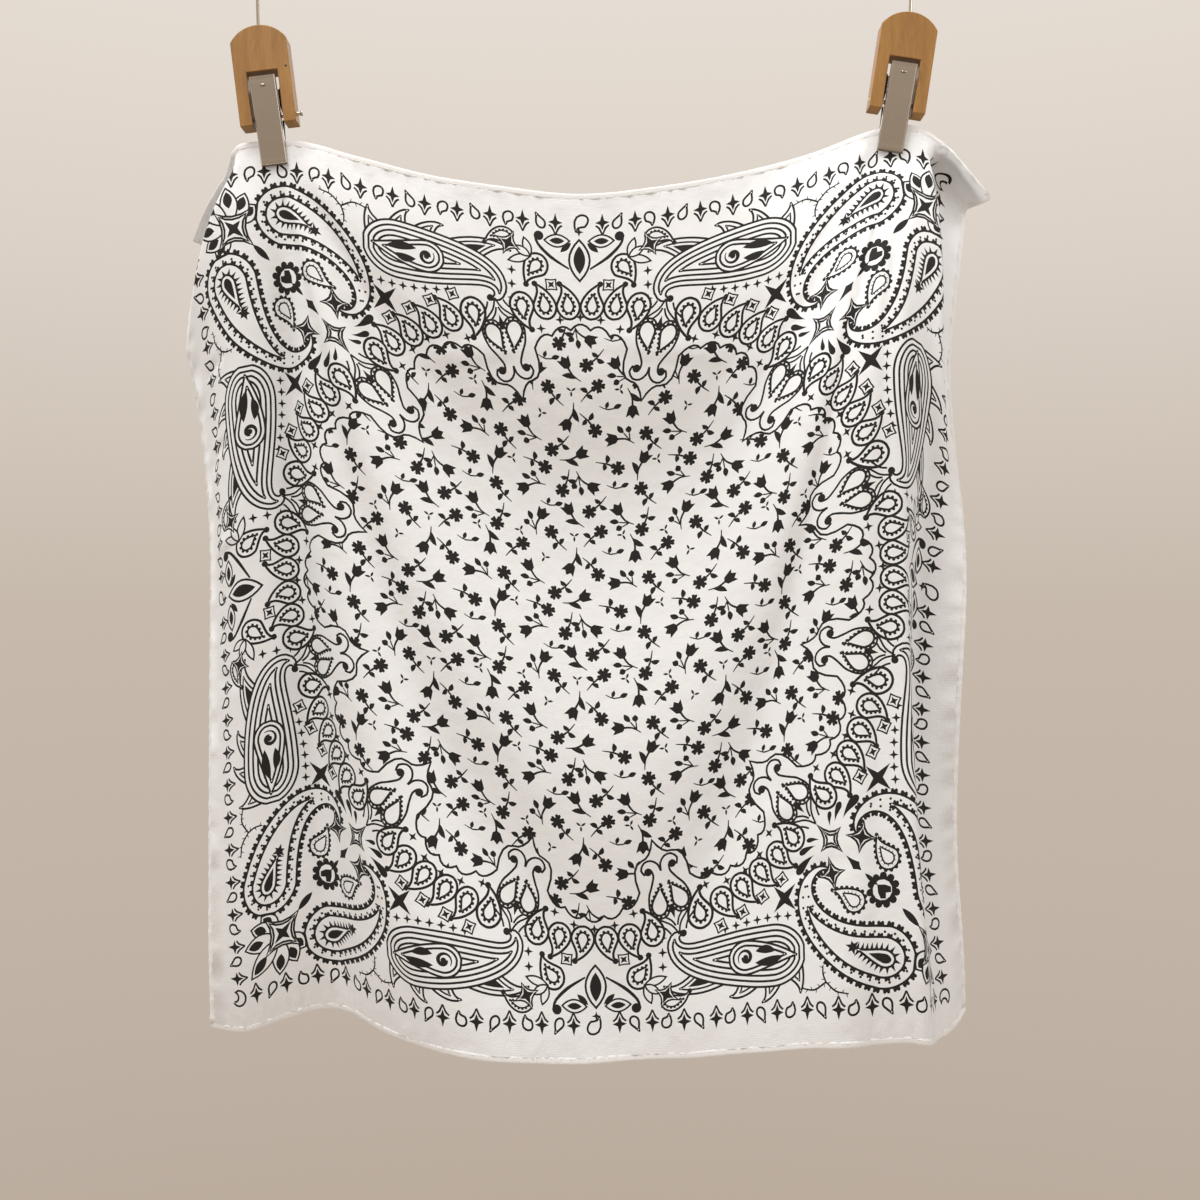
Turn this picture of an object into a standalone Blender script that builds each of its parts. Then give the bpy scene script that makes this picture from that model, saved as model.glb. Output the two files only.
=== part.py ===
"""A printed square bandana hanging by its top hem from two wooden clip hangers.

Metres. X runs along the rail to the right, Y away from the viewer, Z up. The origin is on the rail line,
midway between the two hooks. The cloth is drawn flat first: u runs across it from its middle line, v down it
from the top hem. drape() carries a flat point to where it hangs.
"""

import math

import bpy
import numpy as np

# ---- sizes of the cloth -------------------------------------------------------------------------------
LEFT = -0.281
RIGHT = 0.281
LENGTH = 0.554
CLOTH = 0.0012
HEM_WIDTH = 0.0040
HEM_THICK = 0.0017
SEAM_GAP = 0.0003

# ---- where the clips hold the top hem, across the flat cloth ------------------------------------------
HELD_LEFT = -0.1970
HELD_RIGHT = 0.2035

# ---- the cloth's own frame, in the hooks' frame --------------------------------------------------------
CLOTH_FROM_HOOKS = (0.0098, 0.0, -0.4420)

# Height of the top hem and of the bottom hem, at stations across the cloth.
# u, top, bottom
HEMS = (
    (-0.281, 0.2700, -0.2830),
    (-0.256, 0.2780, -0.2830),
    (-0.225, 0.2855, -0.2735),
    (-0.205, 0.2885, -0.2680),
    (-0.183, 0.2890, -0.2675),
    (-0.141, 0.2790, -0.2720),
    (-0.095, 0.2675, -0.2755),
    (-0.050, 0.2605, -0.2825),
    (0.000, 0.2554, -0.2885),
    (0.050, 0.2600, -0.2850),
    (0.100, 0.2685, -0.2740),
    (0.150, 0.2812, -0.2620),
    (0.189, 0.2950, -0.2600),
    (0.2035, 0.2985, -0.2600),
    (0.216, 0.2985, -0.2620),
    (0.240, 0.2868, -0.2660),
    (0.263, 0.2698, -0.2650),
    (0.281, 0.2560, -0.2570),
)

# Depths down the cloth at which the folds below are stated.
LEVELS = (0.0, 0.110, 0.220, 0.330, 0.440, 0.554)

# The panels between the vertical folds, from the left hem to the right hem: the fold line that ends each one
# (u at the top, the middle and the bottom of the cloth), how softly it turns there, and the panel's heading
# in degrees at each level (plus recedes from the viewer going right, minus comes forward).
# name, u top, u middle, u bottom, softness, headings
PANELS = (
    ("edge left", -0.235, -0.250, -0.252, 0.008, (-20, -44, -60, -50, -42, -22)),
    ("curl left", -0.222, -0.232, -0.238, 0.008, (0, -30, -38, -36, -14, -4)),
    ("lobe left", -0.215, -0.215, -0.215, 0.008, (0, 5, 5, 5, 3, 0)),
    ("fall left", -0.193, -0.193, -0.190, 0.008, (0, 36, 36, 30, 18, 4)),
    ("rise left", -0.175, -0.150, -0.085, 0.030, (0, -42, -38, -38, -36, -35)),
    ("back left", -0.145, -0.118, 0.020, 0.030, (0, 26, 24, 24, 22, 18)),
    ("middle left", 0.000, 0.000, 0.030, 0.030, (0, 3, 4, 5, 5, 8)),
    ("middle right", 0.100, 0.100, 0.090, 0.030, (0, -3, -4, -6, -12, -22)),
    ("rise right", 0.183, 0.183, 0.165, 0.015, (0, -28, -33, -36, -38, -36)),
    ("ridge right", 0.210, 0.210, 0.215, 0.006, (0, -2, 0, 0, 0, 0)),
    ("steep right", 0.223, 0.247, 0.244, 0.006, (0, 30, 57, 77, 80, 68)),
    ("strip right", 0.2225, 0.270, 0.318, 0.006, (0, 0, 0, 0, 26, 48)),
    ("pleat right", 0.243, 0.300, 0.360, 0.006, (76, 86, 46, 0, 0, 40)),
    ("flare right", 9.0, 9.0, 9.0, 0.008, (0, 42, 0, 0, 0, 0)),
)
OPEN_AT_HEM = ("strip right", "pleat right")

# Where the middle line hangs, left or right and near or far, down the cloth.
# v, across, away
MIDDLE_LINE = (
    (0.000, -0.0137, 0.000),
    (0.110, -0.0118, 0.014),
    (0.220, -0.0097, 0.020),
    (0.330, -0.0072, 0.020),
    (0.440, -0.0043, 0.014),
    (0.554, -0.0017, 0.000),
)

# The swags that hang between the clips: how far forward, against v on the middle line. Each swag narrows to
# nothing at the clips.
# v, forward
SWAGS = (
    (0.000, 0.000),
    (0.110, 0.012),
    (0.190, 0.004),
    (0.390, 0.020),
    (0.510, 0.008),
    (0.600, 0.012),
    (3.000, 0.012),
)

# The top left corner hangs back behind the cloth, round the left clip: the angle from straight down about
# the pivot on the top hem, and the direction in which the cloth runs there.
# angle, across, away, up
PIVOT = -0.210
CREASE = 33.3
FLAP = (
    (33.3, -0.353, 0.00, -0.935),
    (47.0, -0.400, 0.22, -0.890),
    (62.0, -0.280, 0.43, -0.860),
    (76.0, -0.360, 0.50, -0.780),
    (90.0, -0.550, 0.45, -0.700),
)
FLAP_FROM = 0.003
FLAP_FULL = 0.027

# The jaws hold the cloth flat here.
HELD_HALF_WIDTH = 0.0115
HELD_DEPTH = 0.0195
HELD_EASE = 0.020


# ---- the cloth as it hangs ------------------------------------------------------------------------------
def column(table, k):
    return [row[k] for row in table]


def smooth(xs, ys, x):
    """A cubic through a short table; each station's slope comes from its neighbours."""
    xs = np.asarray(xs, float)
    ys = np.asarray(ys, float)
    slope = np.gradient(ys, xs)
    x = np.clip(x, xs[0], xs[-1])
    i = np.clip(np.searchsorted(xs, x, side="right") - 1, 0, len(xs) - 2)
    h = xs[i + 1] - xs[i]
    t = (x - xs[i]) / h
    near = (2 * t**3 - 3 * t**2 + 1) * ys[i] + (t**3 - 2 * t**2 + t) * h * slope[i]
    far = (3 * t**2 - 2 * t**3) * ys[i + 1] + (t**3 - t**2) * h * slope[i + 1]
    return near + far


def ease(x, start, end):
    """0 before the start, 1 after the end, with no corner at either."""
    t = np.clip((x - start) / (end - start), 0, 1)
    return t * t * (3 - 2 * t)


def heading(u, v):
    total = smooth(LEVELS, PANELS[0][5], v)
    t = v / LENGTH
    last = None
    for (name, top, middle, bottom, soft, angles), after in zip(PANELS, PANELS[1:]):
        line = top * (1 - t) * (1 - 2 * t) + middle * 4 * t * (1 - t) + bottom * t * (2 * t - 1)
        if last is not None:
            line = np.maximum(line, last)
        last = line
        turn = smooth(LEVELS, after[5], v) - smooth(LEVELS, angles, v)
        if name in OPEN_AT_HEM:
            turn = turn * ease(v, 0.0, 0.020)
        total = total + turn * ease(u, line - soft, line + soft)
    return np.radians(total)


class Sheet:
    """The hanging cloth's middle surface, on a fine flat grid, read between its points."""

    def __init__(self):
        self.u = np.linspace(LEFT - 0.004, RIGHT + 0.004, 571)
        self.v = np.linspace(-0.004, LENGTH + 0.004, 282)
        u, v = np.meshgrid(self.u, self.v)
        top = smooth(column(HEMS, 0), column(HEMS, 1), u)
        bottom = smooth(column(HEMS, 0), column(HEMS, 2), u)
        up = top + (bottom - top) * v / LENGTH
        # The top right corner drops away from the clip, and lifts the cloth just under it.
        up = up + 0.012 * ease(u, 0.224, 0.248) * ease(v, 0.0, 0.020) * (1 - ease(v, 0.020, 0.140))
        run = np.sqrt(np.clip(1 - np.gradient(up, self.u, axis=1) ** 2, 0.2, 1))
        turn = heading(u, np.clip(v, 0, LENGTH))
        across = self.along(np.cos(turn) * run) + smooth(column(MIDDLE_LINE, 0), column(MIDDLE_LINE, 1), v)
        away = self.along(np.sin(turn) * run) + smooth(column(MIDDLE_LINE, 0), column(MIDDLE_LINE, 2), v)
        # Swags.
        centre = (HELD_LEFT + HELD_RIGHT) / 2
        half = (HELD_RIGHT - HELD_LEFT) / 2
        width = np.clip(1 - ((u - centre) / half) ** 2, 0.03, 1)
        away = away - width * smooth(column(SWAGS, 0), column(SWAGS, 1), np.clip(v, 0, 1) / width)
        # Flat between the jaws.
        for held in (HELD_LEFT, HELD_RIGHT):
            beside = np.maximum(np.abs(u - held) - HELD_HALF_WIDTH, 0)
            below = np.maximum(v - HELD_DEPTH, 0)
            away = away * ease(np.hypot(beside, below), 0.0, HELD_EASE)
        self.grid = np.stack([across, away, up])
        self.fold_corner(u, v)

    def along(self, rate):
        """The rate summed across the cloth, zero on its middle line."""
        steps = (rate[:, 1:] + rate[:, :-1]) / 2 * np.diff(self.u)
        total = np.concatenate([np.zeros((len(self.v), 1)), np.cumsum(steps, axis=1)], axis=1)
        middle = np.array([np.interp(0.0, self.u, row) for row in total])
        return total - middle[:, None]

    def fold_corner(self, u, v):
        """Past the crease the corner is a cone about the pivot, carried by the crease it hangs from."""
        radius = np.hypot(u - PIVOT, v)
        angle = np.degrees(np.arctan2(PIVOT - u, v))
        behind = (angle > CREASE) & (u < PIVOT)
        crease = self.read(
            PIVOT - radius * math.sin(math.radians(CREASE)),
            radius * math.cos(math.radians(CREASE)),
        )
        angle = np.clip(angle, CREASE, 90)
        runs = np.array([smooth(column(FLAP, 0), column(FLAP, k), angle) for k in (1, 2, 3)])
        runs = runs / np.sqrt((runs**2).sum(axis=0))
        first = np.array(FLAP[0][1:])
        first = first / np.linalg.norm(first)
        cone = crease + radius * (runs - first[:, None, None])
        full = ease(radius, FLAP_FROM, FLAP_FULL)
        self.grid = np.where(behind, self.grid + (cone - self.grid) * full, self.grid)

    def read(self, u, v):
        """Points of the middle surface, axis first."""
        fu = np.clip((u - self.u[0]) / (self.u[1] - self.u[0]), 0, len(self.u) - 1.001)
        fv = np.clip((v - self.v[0]) / (self.v[1] - self.v[0]), 0, len(self.v) - 1.001)
        i = fu.astype(int)
        j = fv.astype(int)
        a = fu - i
        b = fv - j
        upper = self.grid[:, j, i] * (1 - a) + self.grid[:, j, i + 1] * a
        lower = self.grid[:, j + 1, i] * (1 - a) + self.grid[:, j + 1, i + 1] * a
        return upper * (1 - b) + lower * b


def drape(sheet, u, v, lift=0.0):
    """Flat points to hanging points, raised from the middle surface toward the viewer by lift."""
    u = np.asarray(u, float)
    v = np.asarray(v, float)
    reach = 0.0015
    point = sheet.read(u, v)
    right = sheet.read(u + reach, v) - sheet.read(u - reach, v)
    down = sheet.read(u, v + reach) - sheet.read(u, v - reach)
    normal = np.cross(down, right, axis=0)
    normal = normal / np.sqrt((normal**2).sum(axis=0))
    return (point + normal * lift).T + np.array(CLOTH_FROM_HOOKS)


# ---- meshes -----------------------------------------------------------------------------------------------
def material(name, colour, roughness, metallic=0.0):
    made = bpy.data.materials.new(name)
    made.use_nodes = True
    shader = made.node_tree.nodes["Principled BSDF"]
    shader.inputs["Base Color"].default_value = (*colour, 1)
    shader.inputs["Roughness"].default_value = roughness
    shader.inputs["Metallic"].default_value = metallic
    made.diffuse_color = (*colour, 1)
    return made


def solid(name, points, faces, finish, smoothed=False):
    mesh = bpy.data.meshes.new(name)
    mesh.from_pydata([tuple(map(float, p)) for p in points], [], [tuple(map(int, f)) for f in faces])
    mesh.update()
    obj = bpy.data.objects.new(name, mesh)
    bpy.context.scene.collection.objects.link(obj)
    mesh.materials.append(material(name, *finish))
    if smoothed:
        mesh.shade_smooth()
    return obj


def rings(sections):
    """Faces of a closed body through equal rings of points, capped at both ends."""
    count = len(sections)
    sides = len(sections[0])
    faces = []
    for i in range(count - 1):
        for k in range(sides):
            n = (k + 1) % sides
            faces.append((i * sides + k, i * sides + n, (i + 1) * sides + n, (i + 1) * sides + k))
    faces.append(tuple(reversed(range(sides))))
    faces.append(tuple((count - 1) * sides + k for k in range(sides)))
    return np.concatenate(sections), faces


def face_out(obj):
    """Turns a body whose faces all point inwards."""
    mesh = obj.data
    mesh.calc_loop_triangles()
    co = np.array([v.co for v in mesh.vertices])
    tri = np.array([t.vertices for t in mesh.loop_triangles])
    if np.einsum("ij,ij->i", co[tri[:, 0]], np.cross(co[tri[:, 1]], co[tri[:, 2]])).sum() < 0:
        mesh.flip_normals()
    return obj


WHITE = ((0.86, 0.84, 0.82), 0.75)
WOOD = ((0.46, 0.24, 0.09), 0.5)
STEEL = ((0.42, 0.38, 0.34), 0.35, 0.9)
BLACK = ((0.03, 0.03, 0.03), 0.45)


# ---- the panel and its four hems ------------------------------------------------------------------------
def stations(stops):
    """Stations from short runs of (start, end, spacing)."""
    found = []
    for start, end, spacing in stops:
        count = max(1, round((end - start) / spacing))
        found.extend(np.linspace(start, end, count, endpoint=False))
    found.append(stops[-1][1])
    return np.array(found)


IN = HEM_WIDTH + SEAM_GAP
ACROSS = stations((
    (LEFT + IN, -0.180, 0.0052),
    (-0.180, -0.060, 0.0120),
    (-0.060, 0.090, 0.0190),
    (0.090, 0.198, 0.0110),
    (0.198, RIGHT - IN, 0.0048),
))
DOWN = stations(((IN, 0.060, 0.0062), (0.060, 0.140, 0.0115), (0.140, LENGTH - IN, 0.0190)))


def build_panel(sheet):
    u, v = np.meshgrid(ACROSS, DOWN)
    rows, columns = u.shape
    front = drape(sheet, u.ravel(), v.ravel(), CLOTH / 2)
    back = drape(sheet, u.ravel(), v.ravel(), -CLOTH / 2)
    size = rows * columns
    at = np.arange(size).reshape(rows, columns)
    faces = []
    for j in range(rows - 1):
        for i in range(columns - 1):
            a, b, c, d = at[j, i], at[j, i + 1], at[j + 1, i + 1], at[j + 1, i]
            faces.append((a, d, c))
            faces.append((a, c, b))
            faces.append((a + size, c + size, d + size))
            faces.append((a + size, b + size, c + size))
    rim = [at[0, i] for i in range(columns)]
    rim += [at[j, -1] for j in range(1, rows)]
    rim += [at[-1, i] for i in range(columns - 2, -1, -1)]
    rim += [at[j, 0] for j in range(rows - 2, 0, -1)]
    for a, b in zip(rim, rim[1:] + rim[:1]):
        faces.append((a, b, b + size, a + size))
    return face_out(solid("panel", np.concatenate([front, back]), faces, WHITE, True))


# Across a hem, from its free edge inwards: distance in, and height as a share of half its thickness.
HEM_SECTION = ((0.0, 0.0), (0.0008, 1.0), (0.0033, 1.0), (0.0040, 0.0), (0.0033, -1.0), (0.0008, -1.0))


def build_hem(sheet, name, places):
    """places(distance in) gives the flat line that runs at that distance inside the free edge."""
    lines = []
    for inward, share in HEM_SECTION:
        u, v = places(inward)
        lines.append(drape(sheet, u, v, share * HEM_THICK / 2))
    sections = [np.array([line[k] for line in lines]) for k in range(len(lines[0]))]
    points, faces = rings(sections)
    return face_out(solid(name, points, faces, WHITE, True))


def build_cloth():
    sheet = Sheet()
    build_panel(sheet)
    full = np.concatenate([[LEFT, LEFT + 0.002], ACROSS, [RIGHT - 0.002, RIGHT]])
    between = DOWN
    build_hem(sheet, "hem_top", lambda inward: (full, np.full(len(full), inward)))
    build_hem(sheet, "hem_bottom", lambda inward: (full, np.full(len(full), LENGTH - inward)))
    build_hem(sheet, "hem_left", lambda inward: (np.full(len(between), LEFT + inward), between))
    build_hem(sheet, "hem_right", lambda inward: (np.full(len(between), RIGHT - inward), between))


# ---- the clips --------------------------------------------------------------------------------------
# Each clip in its own frame: side runs across it, away from the viewer, and drop down it from the top of its
# wooden block.
# name, top of the block across and up, lean in degrees, hook across
CLIPS = (
    ("left", -0.2050, -0.0828, 7.0, -0.2060),
    ("right", 0.2048, -0.0747, -8.6, 0.2060),
)
BLOCK_WIDTH = 0.0352
BLOCK_LENGTH = 0.0622
BLOCK_THICK = 0.0130
BLOCK_ARCH = 0.0095
SLOT_WIDTH = 0.0196
SLOT_TOP = 0.0290
PIN_DROP = 0.0560
PIN_RADIUS = 0.0015
PIN_PROUD = 0.0035
JAW_WIDTH = 0.0164
JAW_SHEET = 0.0012
EAR_SHEET = 0.0010
WIRE_RADIUS = 0.0011
WIRE_IN = 0.0100
HOOK_RADIUS = 0.0111
FIT = 0.0003

# Down each jaw: drop, and distance from the cloth to the middle of its plate.
# drop, away
FRONT_JAW = (
    (0.0330, 0.0086),
    (0.0450, 0.0082),
    (0.0570, 0.0072),
    (0.0665, 0.0034),
    (0.0765, 0.0020),
    (0.0866, 0.0016),
)
BACK_JAW = (
    (0.0360, 0.0080),
    (0.0450, 0.0078),
    (0.0570, 0.0070),
    (0.0665, 0.0034),
    (0.0765, 0.0020),
    (0.0866, 0.0016),
)


def placed(points, clip):
    """Points (side, away, drop) of a clip's frame, in the hooks' frame."""
    _, across, up, lean, _ = clip
    points = np.asarray(points, float)
    s, c = math.sin(math.radians(lean)), math.cos(math.radians(lean))
    side, away, drop = points.T
    return np.stack([across + side * c + drop * s, away, up + side * s - drop * c], axis=1)


def extruded(outline, start, end, axis):
    """Rings of an outline swept along one axis: 0 side, 1 away."""
    sections = []
    for at in (start, end):
        if axis == 1:
            sections.append(np.array([(a, at, b) for a, b in outline]))
        else:
            sections.append(np.array([(at, a, b) for a, b in outline]))
    return rings(sections)


def cylinder(start, end, radius, sides):
    """Rings of a round bar between two points of a clip's frame."""
    start, end = np.array(start, float), np.array(end, float)
    along = (end - start) / np.linalg.norm(end - start)
    first = np.cross(along, (0.31, 0.59, 0.74))
    first = first / np.linalg.norm(first)
    second = np.cross(along, first)
    turn = np.linspace(0, 2 * math.pi, sides, endpoint=False)
    ring = np.outer(np.cos(turn), first) * radius + np.outer(np.sin(turn), second) * radius
    return rings([start + ring, end + ring])


def cut(obj, shape, clip):
    """Takes a closed shape of the clip's frame out of the object."""
    points, faces = shape
    tool = face_out(solid(obj.name + "_cutter", placed(points, clip), faces, BLACK))
    tool.hide_render = True
    tool.display_type = "WIRE"
    taken = obj.modifiers.new("cut", "BOOLEAN")
    taken.operation = "DIFFERENCE"
    taken.solver = "EXACT"
    taken.object = tool
    return obj


def build_block(clip):
    """The wooden block: an arch on top, and a slot between two legs below."""
    half = BLOCK_WIDTH / 2
    radius = (half**2 + BLOCK_ARCH**2) / (2 * BLOCK_ARCH)
    sweep = math.asin(half / radius)
    arch = []
    for angle in np.linspace(-sweep, sweep, 13):
        arch.append((radius * math.sin(angle), radius * (1 - math.cos(angle))))
    slot = SLOT_WIDTH / 2
    legs = [
        (half, BLOCK_LENGTH),
        (slot, BLOCK_LENGTH),
        (slot, SLOT_TOP),
        (-slot, SLOT_TOP),
        (-slot, BLOCK_LENGTH),
        (-half, BLOCK_LENGTH),
    ]
    points, faces = extruded(arch + legs, -BLOCK_THICK / 2, BLOCK_THICK / 2, 1)
    obj = face_out(solid("clip_wood_" + clip[0], placed(points, clip), faces, WOOD))
    cut(obj, cylinder((-0.05, 0, PIN_DROP), (0.05, 0, PIN_DROP), PIN_RADIUS + FIT, 16), clip)
    return cut(obj, cylinder((0, 0, -0.01), (0, 0, WIRE_IN + FIT), WIRE_RADIUS + FIT, 12), clip)


def build_jaw(clip, name, profile, sign, ear_side):
    """A jaw: one bent plate with two ears that the pin goes through."""
    half = JAW_WIDTH / 2
    mid = JAW_SHEET / 2
    near = [(sign * (away - mid), drop) for drop, away in profile]
    far = [(sign * (away + mid), drop) for drop, away in profile]
    points, faces = extruded(near + far[::-1], -half, half, 0)
    obj = face_out(solid(name, placed(points, clip), faces, STEEL if sign < 0 else BLACK))
    # The ears reach from inside the plate past the pin.
    reach = 0.0030
    ear = [(sign * 0.0074, 0.0500), (sign * 0.0070, 0.0600), (-sign * reach, 0.0590), (-sign * reach, 0.0530)]
    for side in (-1, 1):
        points, faces = extruded(ear, side * ear_side, side * (ear_side - EAR_SHEET), 0)
        tool = face_out(solid(f"{name}_ear{side}", placed(points, clip), faces, BLACK))
        tool.hide_render = True
        tool.display_type = "WIRE"
        joined = obj.modifiers.new("ear", "BOOLEAN")
        joined.operation = "UNION"
        joined.solver = "EXACT"
        joined.object = tool
    return cut(obj, cylinder((-0.05, 0, PIN_DROP), (0.05, 0, PIN_DROP), PIN_RADIUS + FIT, 16), clip)


def build_pin(clip):
    start = -BLOCK_WIDTH / 2 - 0.0006
    end = BLOCK_WIDTH / 2 + PIN_PROUD
    points, faces = cylinder((start, 0, PIN_DROP), (end, 0, PIN_DROP), PIN_RADIUS, 16)
    return face_out(solid("clip_pin_" + clip[0], placed(points, clip), faces, STEEL))


def tube(path, radius, sides):
    """A round bar along a smooth path, without twist."""
    path = np.asarray(path, float)
    along = np.gradient(path, axis=0)
    along = along / np.linalg.norm(along, axis=1)[:, None]
    first = np.cross(along[0], (0.31, 0.59, 0.74))
    turn = np.linspace(0, 2 * math.pi, sides, endpoint=False)
    sections = []
    for point, way in zip(path, along):
        first = first - way * first.dot(way)
        first = first / np.linalg.norm(first)
        second = np.cross(way, first)
        sections.append(point + radius * (np.outer(np.cos(turn), first) + np.outer(np.sin(turn), second)))
    return rings(sections)


SPRING_WIRE = 0.0006
SPRING_RADIUS = 0.0030
SPRING_TURNS = 3.5
SPRING_PITCH = 0.0018


def build_spring(clip):
    """A coil round the pin, with an arm up the inside of each jaw."""
    path = []
    width = SPRING_TURNS * SPRING_PITCH
    for t in np.linspace(0, 1, int(SPRING_TURNS * 14) + 1):
        angle = 2 * math.pi * SPRING_TURNS * t
        side = (t - 0.5) * width
        path.append((side, -SPRING_RADIUS * math.cos(angle), PIN_DROP + SPRING_RADIUS * math.sin(angle)))
    start = path[0]
    end = path[-1]
    path.insert(0, (start[0], start[1] - 0.0004, start[2] - 0.0060))
    path.insert(0, (start[0], start[1] - 0.0016, start[2] - 0.0130))
    path.append((end[0], end[1] + 0.0004, end[2] - 0.0060))
    path.append((end[0], end[1] + 0.0010, end[2] - 0.0130))
    points, faces = tube(path, SPRING_WIRE, 6)
    return face_out(solid("clip_spring_" + clip[0], placed(points, clip), faces, BLACK, True))


def build_wire(clip):
    """A straight wire out of the block's top that bends into an open hook over the rail line."""
    name, across, up, lean, hook = clip
    foot = placed([(0, 0, WIRE_IN)], clip)[0]
    mouth = placed([(0, 0, 0)], clip)[0]
    path = [foot, mouth]
    bend = math.radians(70)
    centre = -(HOOK_RADIUS - WIRE_RADIUS)
    low_y = HOOK_RADIUS * math.cos(bend)
    low_z = centre - HOOK_RADIUS * math.sin(bend)
    small = low_y / (1 - math.cos(bend))
    stem_z = low_z - small * math.sin(bend)
    for share in (0.12, 0.30, 0.60):
        aside = (mouth[0] - hook) * (1 - share) ** 2
        path.append((hook + aside, 0.0, mouth[2] + (stem_z - mouth[2]) * share))
    for angle in np.linspace(0, bend, 6):
        path.append((hook, small * (1 - math.cos(angle)), stem_z + small * math.sin(angle)))
    for angle in np.linspace(-bend, math.radians(200), 22)[1:]:
        path.append((hook, HOOK_RADIUS * math.cos(angle), centre + HOOK_RADIUS * math.sin(angle)))
    points, faces = tube(path, WIRE_RADIUS, 8)
    return face_out(solid("clip_wire_" + name, points, faces, STEEL, True))


def build():
    for obj in list(bpy.data.objects):
        bpy.data.objects.remove(obj)
    build_cloth()
    for clip in CLIPS:
        build_block(clip)
        build_jaw(clip, "clip_jaw_front_" + clip[0], FRONT_JAW, -1, 0.0082)
        build_jaw(clip, "clip_jaw_back_" + clip[0], BACK_JAW, 1, 0.0068)
        build_pin(clip)
        build_spring(clip)
        build_wire(clip)


build()
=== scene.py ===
"""The looks of a printed square bandana that hangs by its top hem from two wooden clip hangers.

Metres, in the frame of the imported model: X runs along the rail, Y away from the viewer, Z up. The cloth is
drawn flat first: u runs across it from its middle line, v down it from the top hem. drape() carries a flat
point to where it hangs. The print is drawn flat too, in millimetres, as outlines; the cloth is cut into
triangles along them, so that the ink is part of the cloth and bends with it.
"""

import math

import bpy
import mathutils
import numpy as np
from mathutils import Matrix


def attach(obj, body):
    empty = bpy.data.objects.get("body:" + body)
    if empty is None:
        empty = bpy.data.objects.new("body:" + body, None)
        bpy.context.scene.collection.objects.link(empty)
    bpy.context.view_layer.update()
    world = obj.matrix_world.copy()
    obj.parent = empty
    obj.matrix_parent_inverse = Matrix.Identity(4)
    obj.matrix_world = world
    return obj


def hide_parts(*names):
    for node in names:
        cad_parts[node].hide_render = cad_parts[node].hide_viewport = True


# ---- sizes of the cloth
LEFT = -0.281
RIGHT = 0.281
LENGTH = 0.554

# ---- where the clips hold the top hem, across the flat cloth
HELD_LEFT = -0.1970
HELD_RIGHT = 0.2035

# ---- the cloth's own frame, in the hooks' frame
CLOTH_FROM_HOOKS = (0.0098, 0.0, -0.4420)

# Height of the top hem and of the bottom hem, at stations across the cloth.
# u, top, bottom
HEMS = (
    (-0.281, 0.2700, -0.2830),
    (-0.256, 0.2780, -0.2830),
    (-0.225, 0.2855, -0.2735),
    (-0.205, 0.2885, -0.2680),
    (-0.183, 0.2890, -0.2675),
    (-0.141, 0.2790, -0.2720),
    (-0.095, 0.2675, -0.2755),
    (-0.050, 0.2605, -0.2825),
    (0.000, 0.2554, -0.2885),
    (0.050, 0.2600, -0.2850),
    (0.100, 0.2685, -0.2740),
    (0.150, 0.2812, -0.2620),
    (0.189, 0.2950, -0.2600),
    (0.2035, 0.2985, -0.2600),
    (0.216, 0.2985, -0.2620),
    (0.240, 0.2868, -0.2660),
    (0.263, 0.2698, -0.2650),
    (0.281, 0.2560, -0.2570),
)

# Depths down the cloth at which the folds below are stated.
LEVELS = (0.0, 0.110, 0.220, 0.330, 0.440, 0.554)

# The panels between the vertical folds, from the left hem to the right hem: the fold line that ends each
# one (u at the top, the middle and the bottom of the cloth), how softly it turns there, and the panel's
# heading in degrees at each level (plus recedes from the viewer going right, minus comes forward).
# name, u top, u middle, u bottom, softness, headings
PANELS = (
    ("edge left", -0.235, -0.250, -0.252, 0.008, (-20, -44, -60, -50, -42, -22)),
    ("curl left", -0.222, -0.232, -0.238, 0.008, (0, -30, -38, -36, -14, -4)),
    ("lobe left", -0.215, -0.215, -0.215, 0.008, (0, 5, 5, 5, 3, 0)),
    ("fall left", -0.193, -0.193, -0.190, 0.008, (0, 36, 36, 30, 18, 4)),
    ("rise left", -0.175, -0.150, -0.085, 0.030, (0, -42, -38, -38, -36, -35)),
    ("back left", -0.145, -0.118, 0.020, 0.030, (0, 26, 24, 24, 22, 18)),
    ("middle left", 0.000, 0.000, 0.030, 0.030, (0, 3, 4, 5, 5, 8)),
    ("middle right", 0.100, 0.100, 0.090, 0.030, (0, -3, -4, -6, -12, -22)),
    ("rise right", 0.183, 0.183, 0.165, 0.015, (0, -28, -33, -36, -38, -36)),
    ("ridge right", 0.210, 0.210, 0.215, 0.006, (0, -2, 0, 0, 0, 0)),
    ("steep right", 0.223, 0.247, 0.244, 0.006, (0, 30, 57, 77, 80, 68)),
    ("strip right", 0.2225, 0.270, 0.318, 0.006, (0, 0, 0, 0, 26, 48)),
    ("pleat right", 0.243, 0.300, 0.360, 0.006, (76, 86, 46, 0, 0, 40)),
    ("flare right", 9.0, 9.0, 9.0, 0.008, (0, 42, 0, 0, 0, 0)),
)
# These two have no fold line at the hem itself; it has formed this far below.
OPEN_AT_HEM = ("strip right", "pleat right")
OPEN_TO = 0.020

# Where the middle line hangs, left or right and near or far, down the cloth.
# v, across, away
MIDDLE_LINE = (
    (0.000, -0.0137, 0.000),
    (0.110, -0.0118, 0.014),
    (0.220, -0.0097, 0.020),
    (0.330, -0.0072, 0.020),
    (0.440, -0.0043, 0.014),
    (0.554, -0.0017, 0.000),
)

# The swags that hang between the clips: how far forward, against v on the middle line. Each swag narrows to
# nothing at the clips.
# v, forward
SWAGS = (
    (0.000, 0.000),
    (0.110, 0.012),
    (0.190, 0.004),
    (0.390, 0.020),
    (0.510, 0.008),
    (0.600, 0.012),
    (3.000, 0.012),
)

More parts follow.
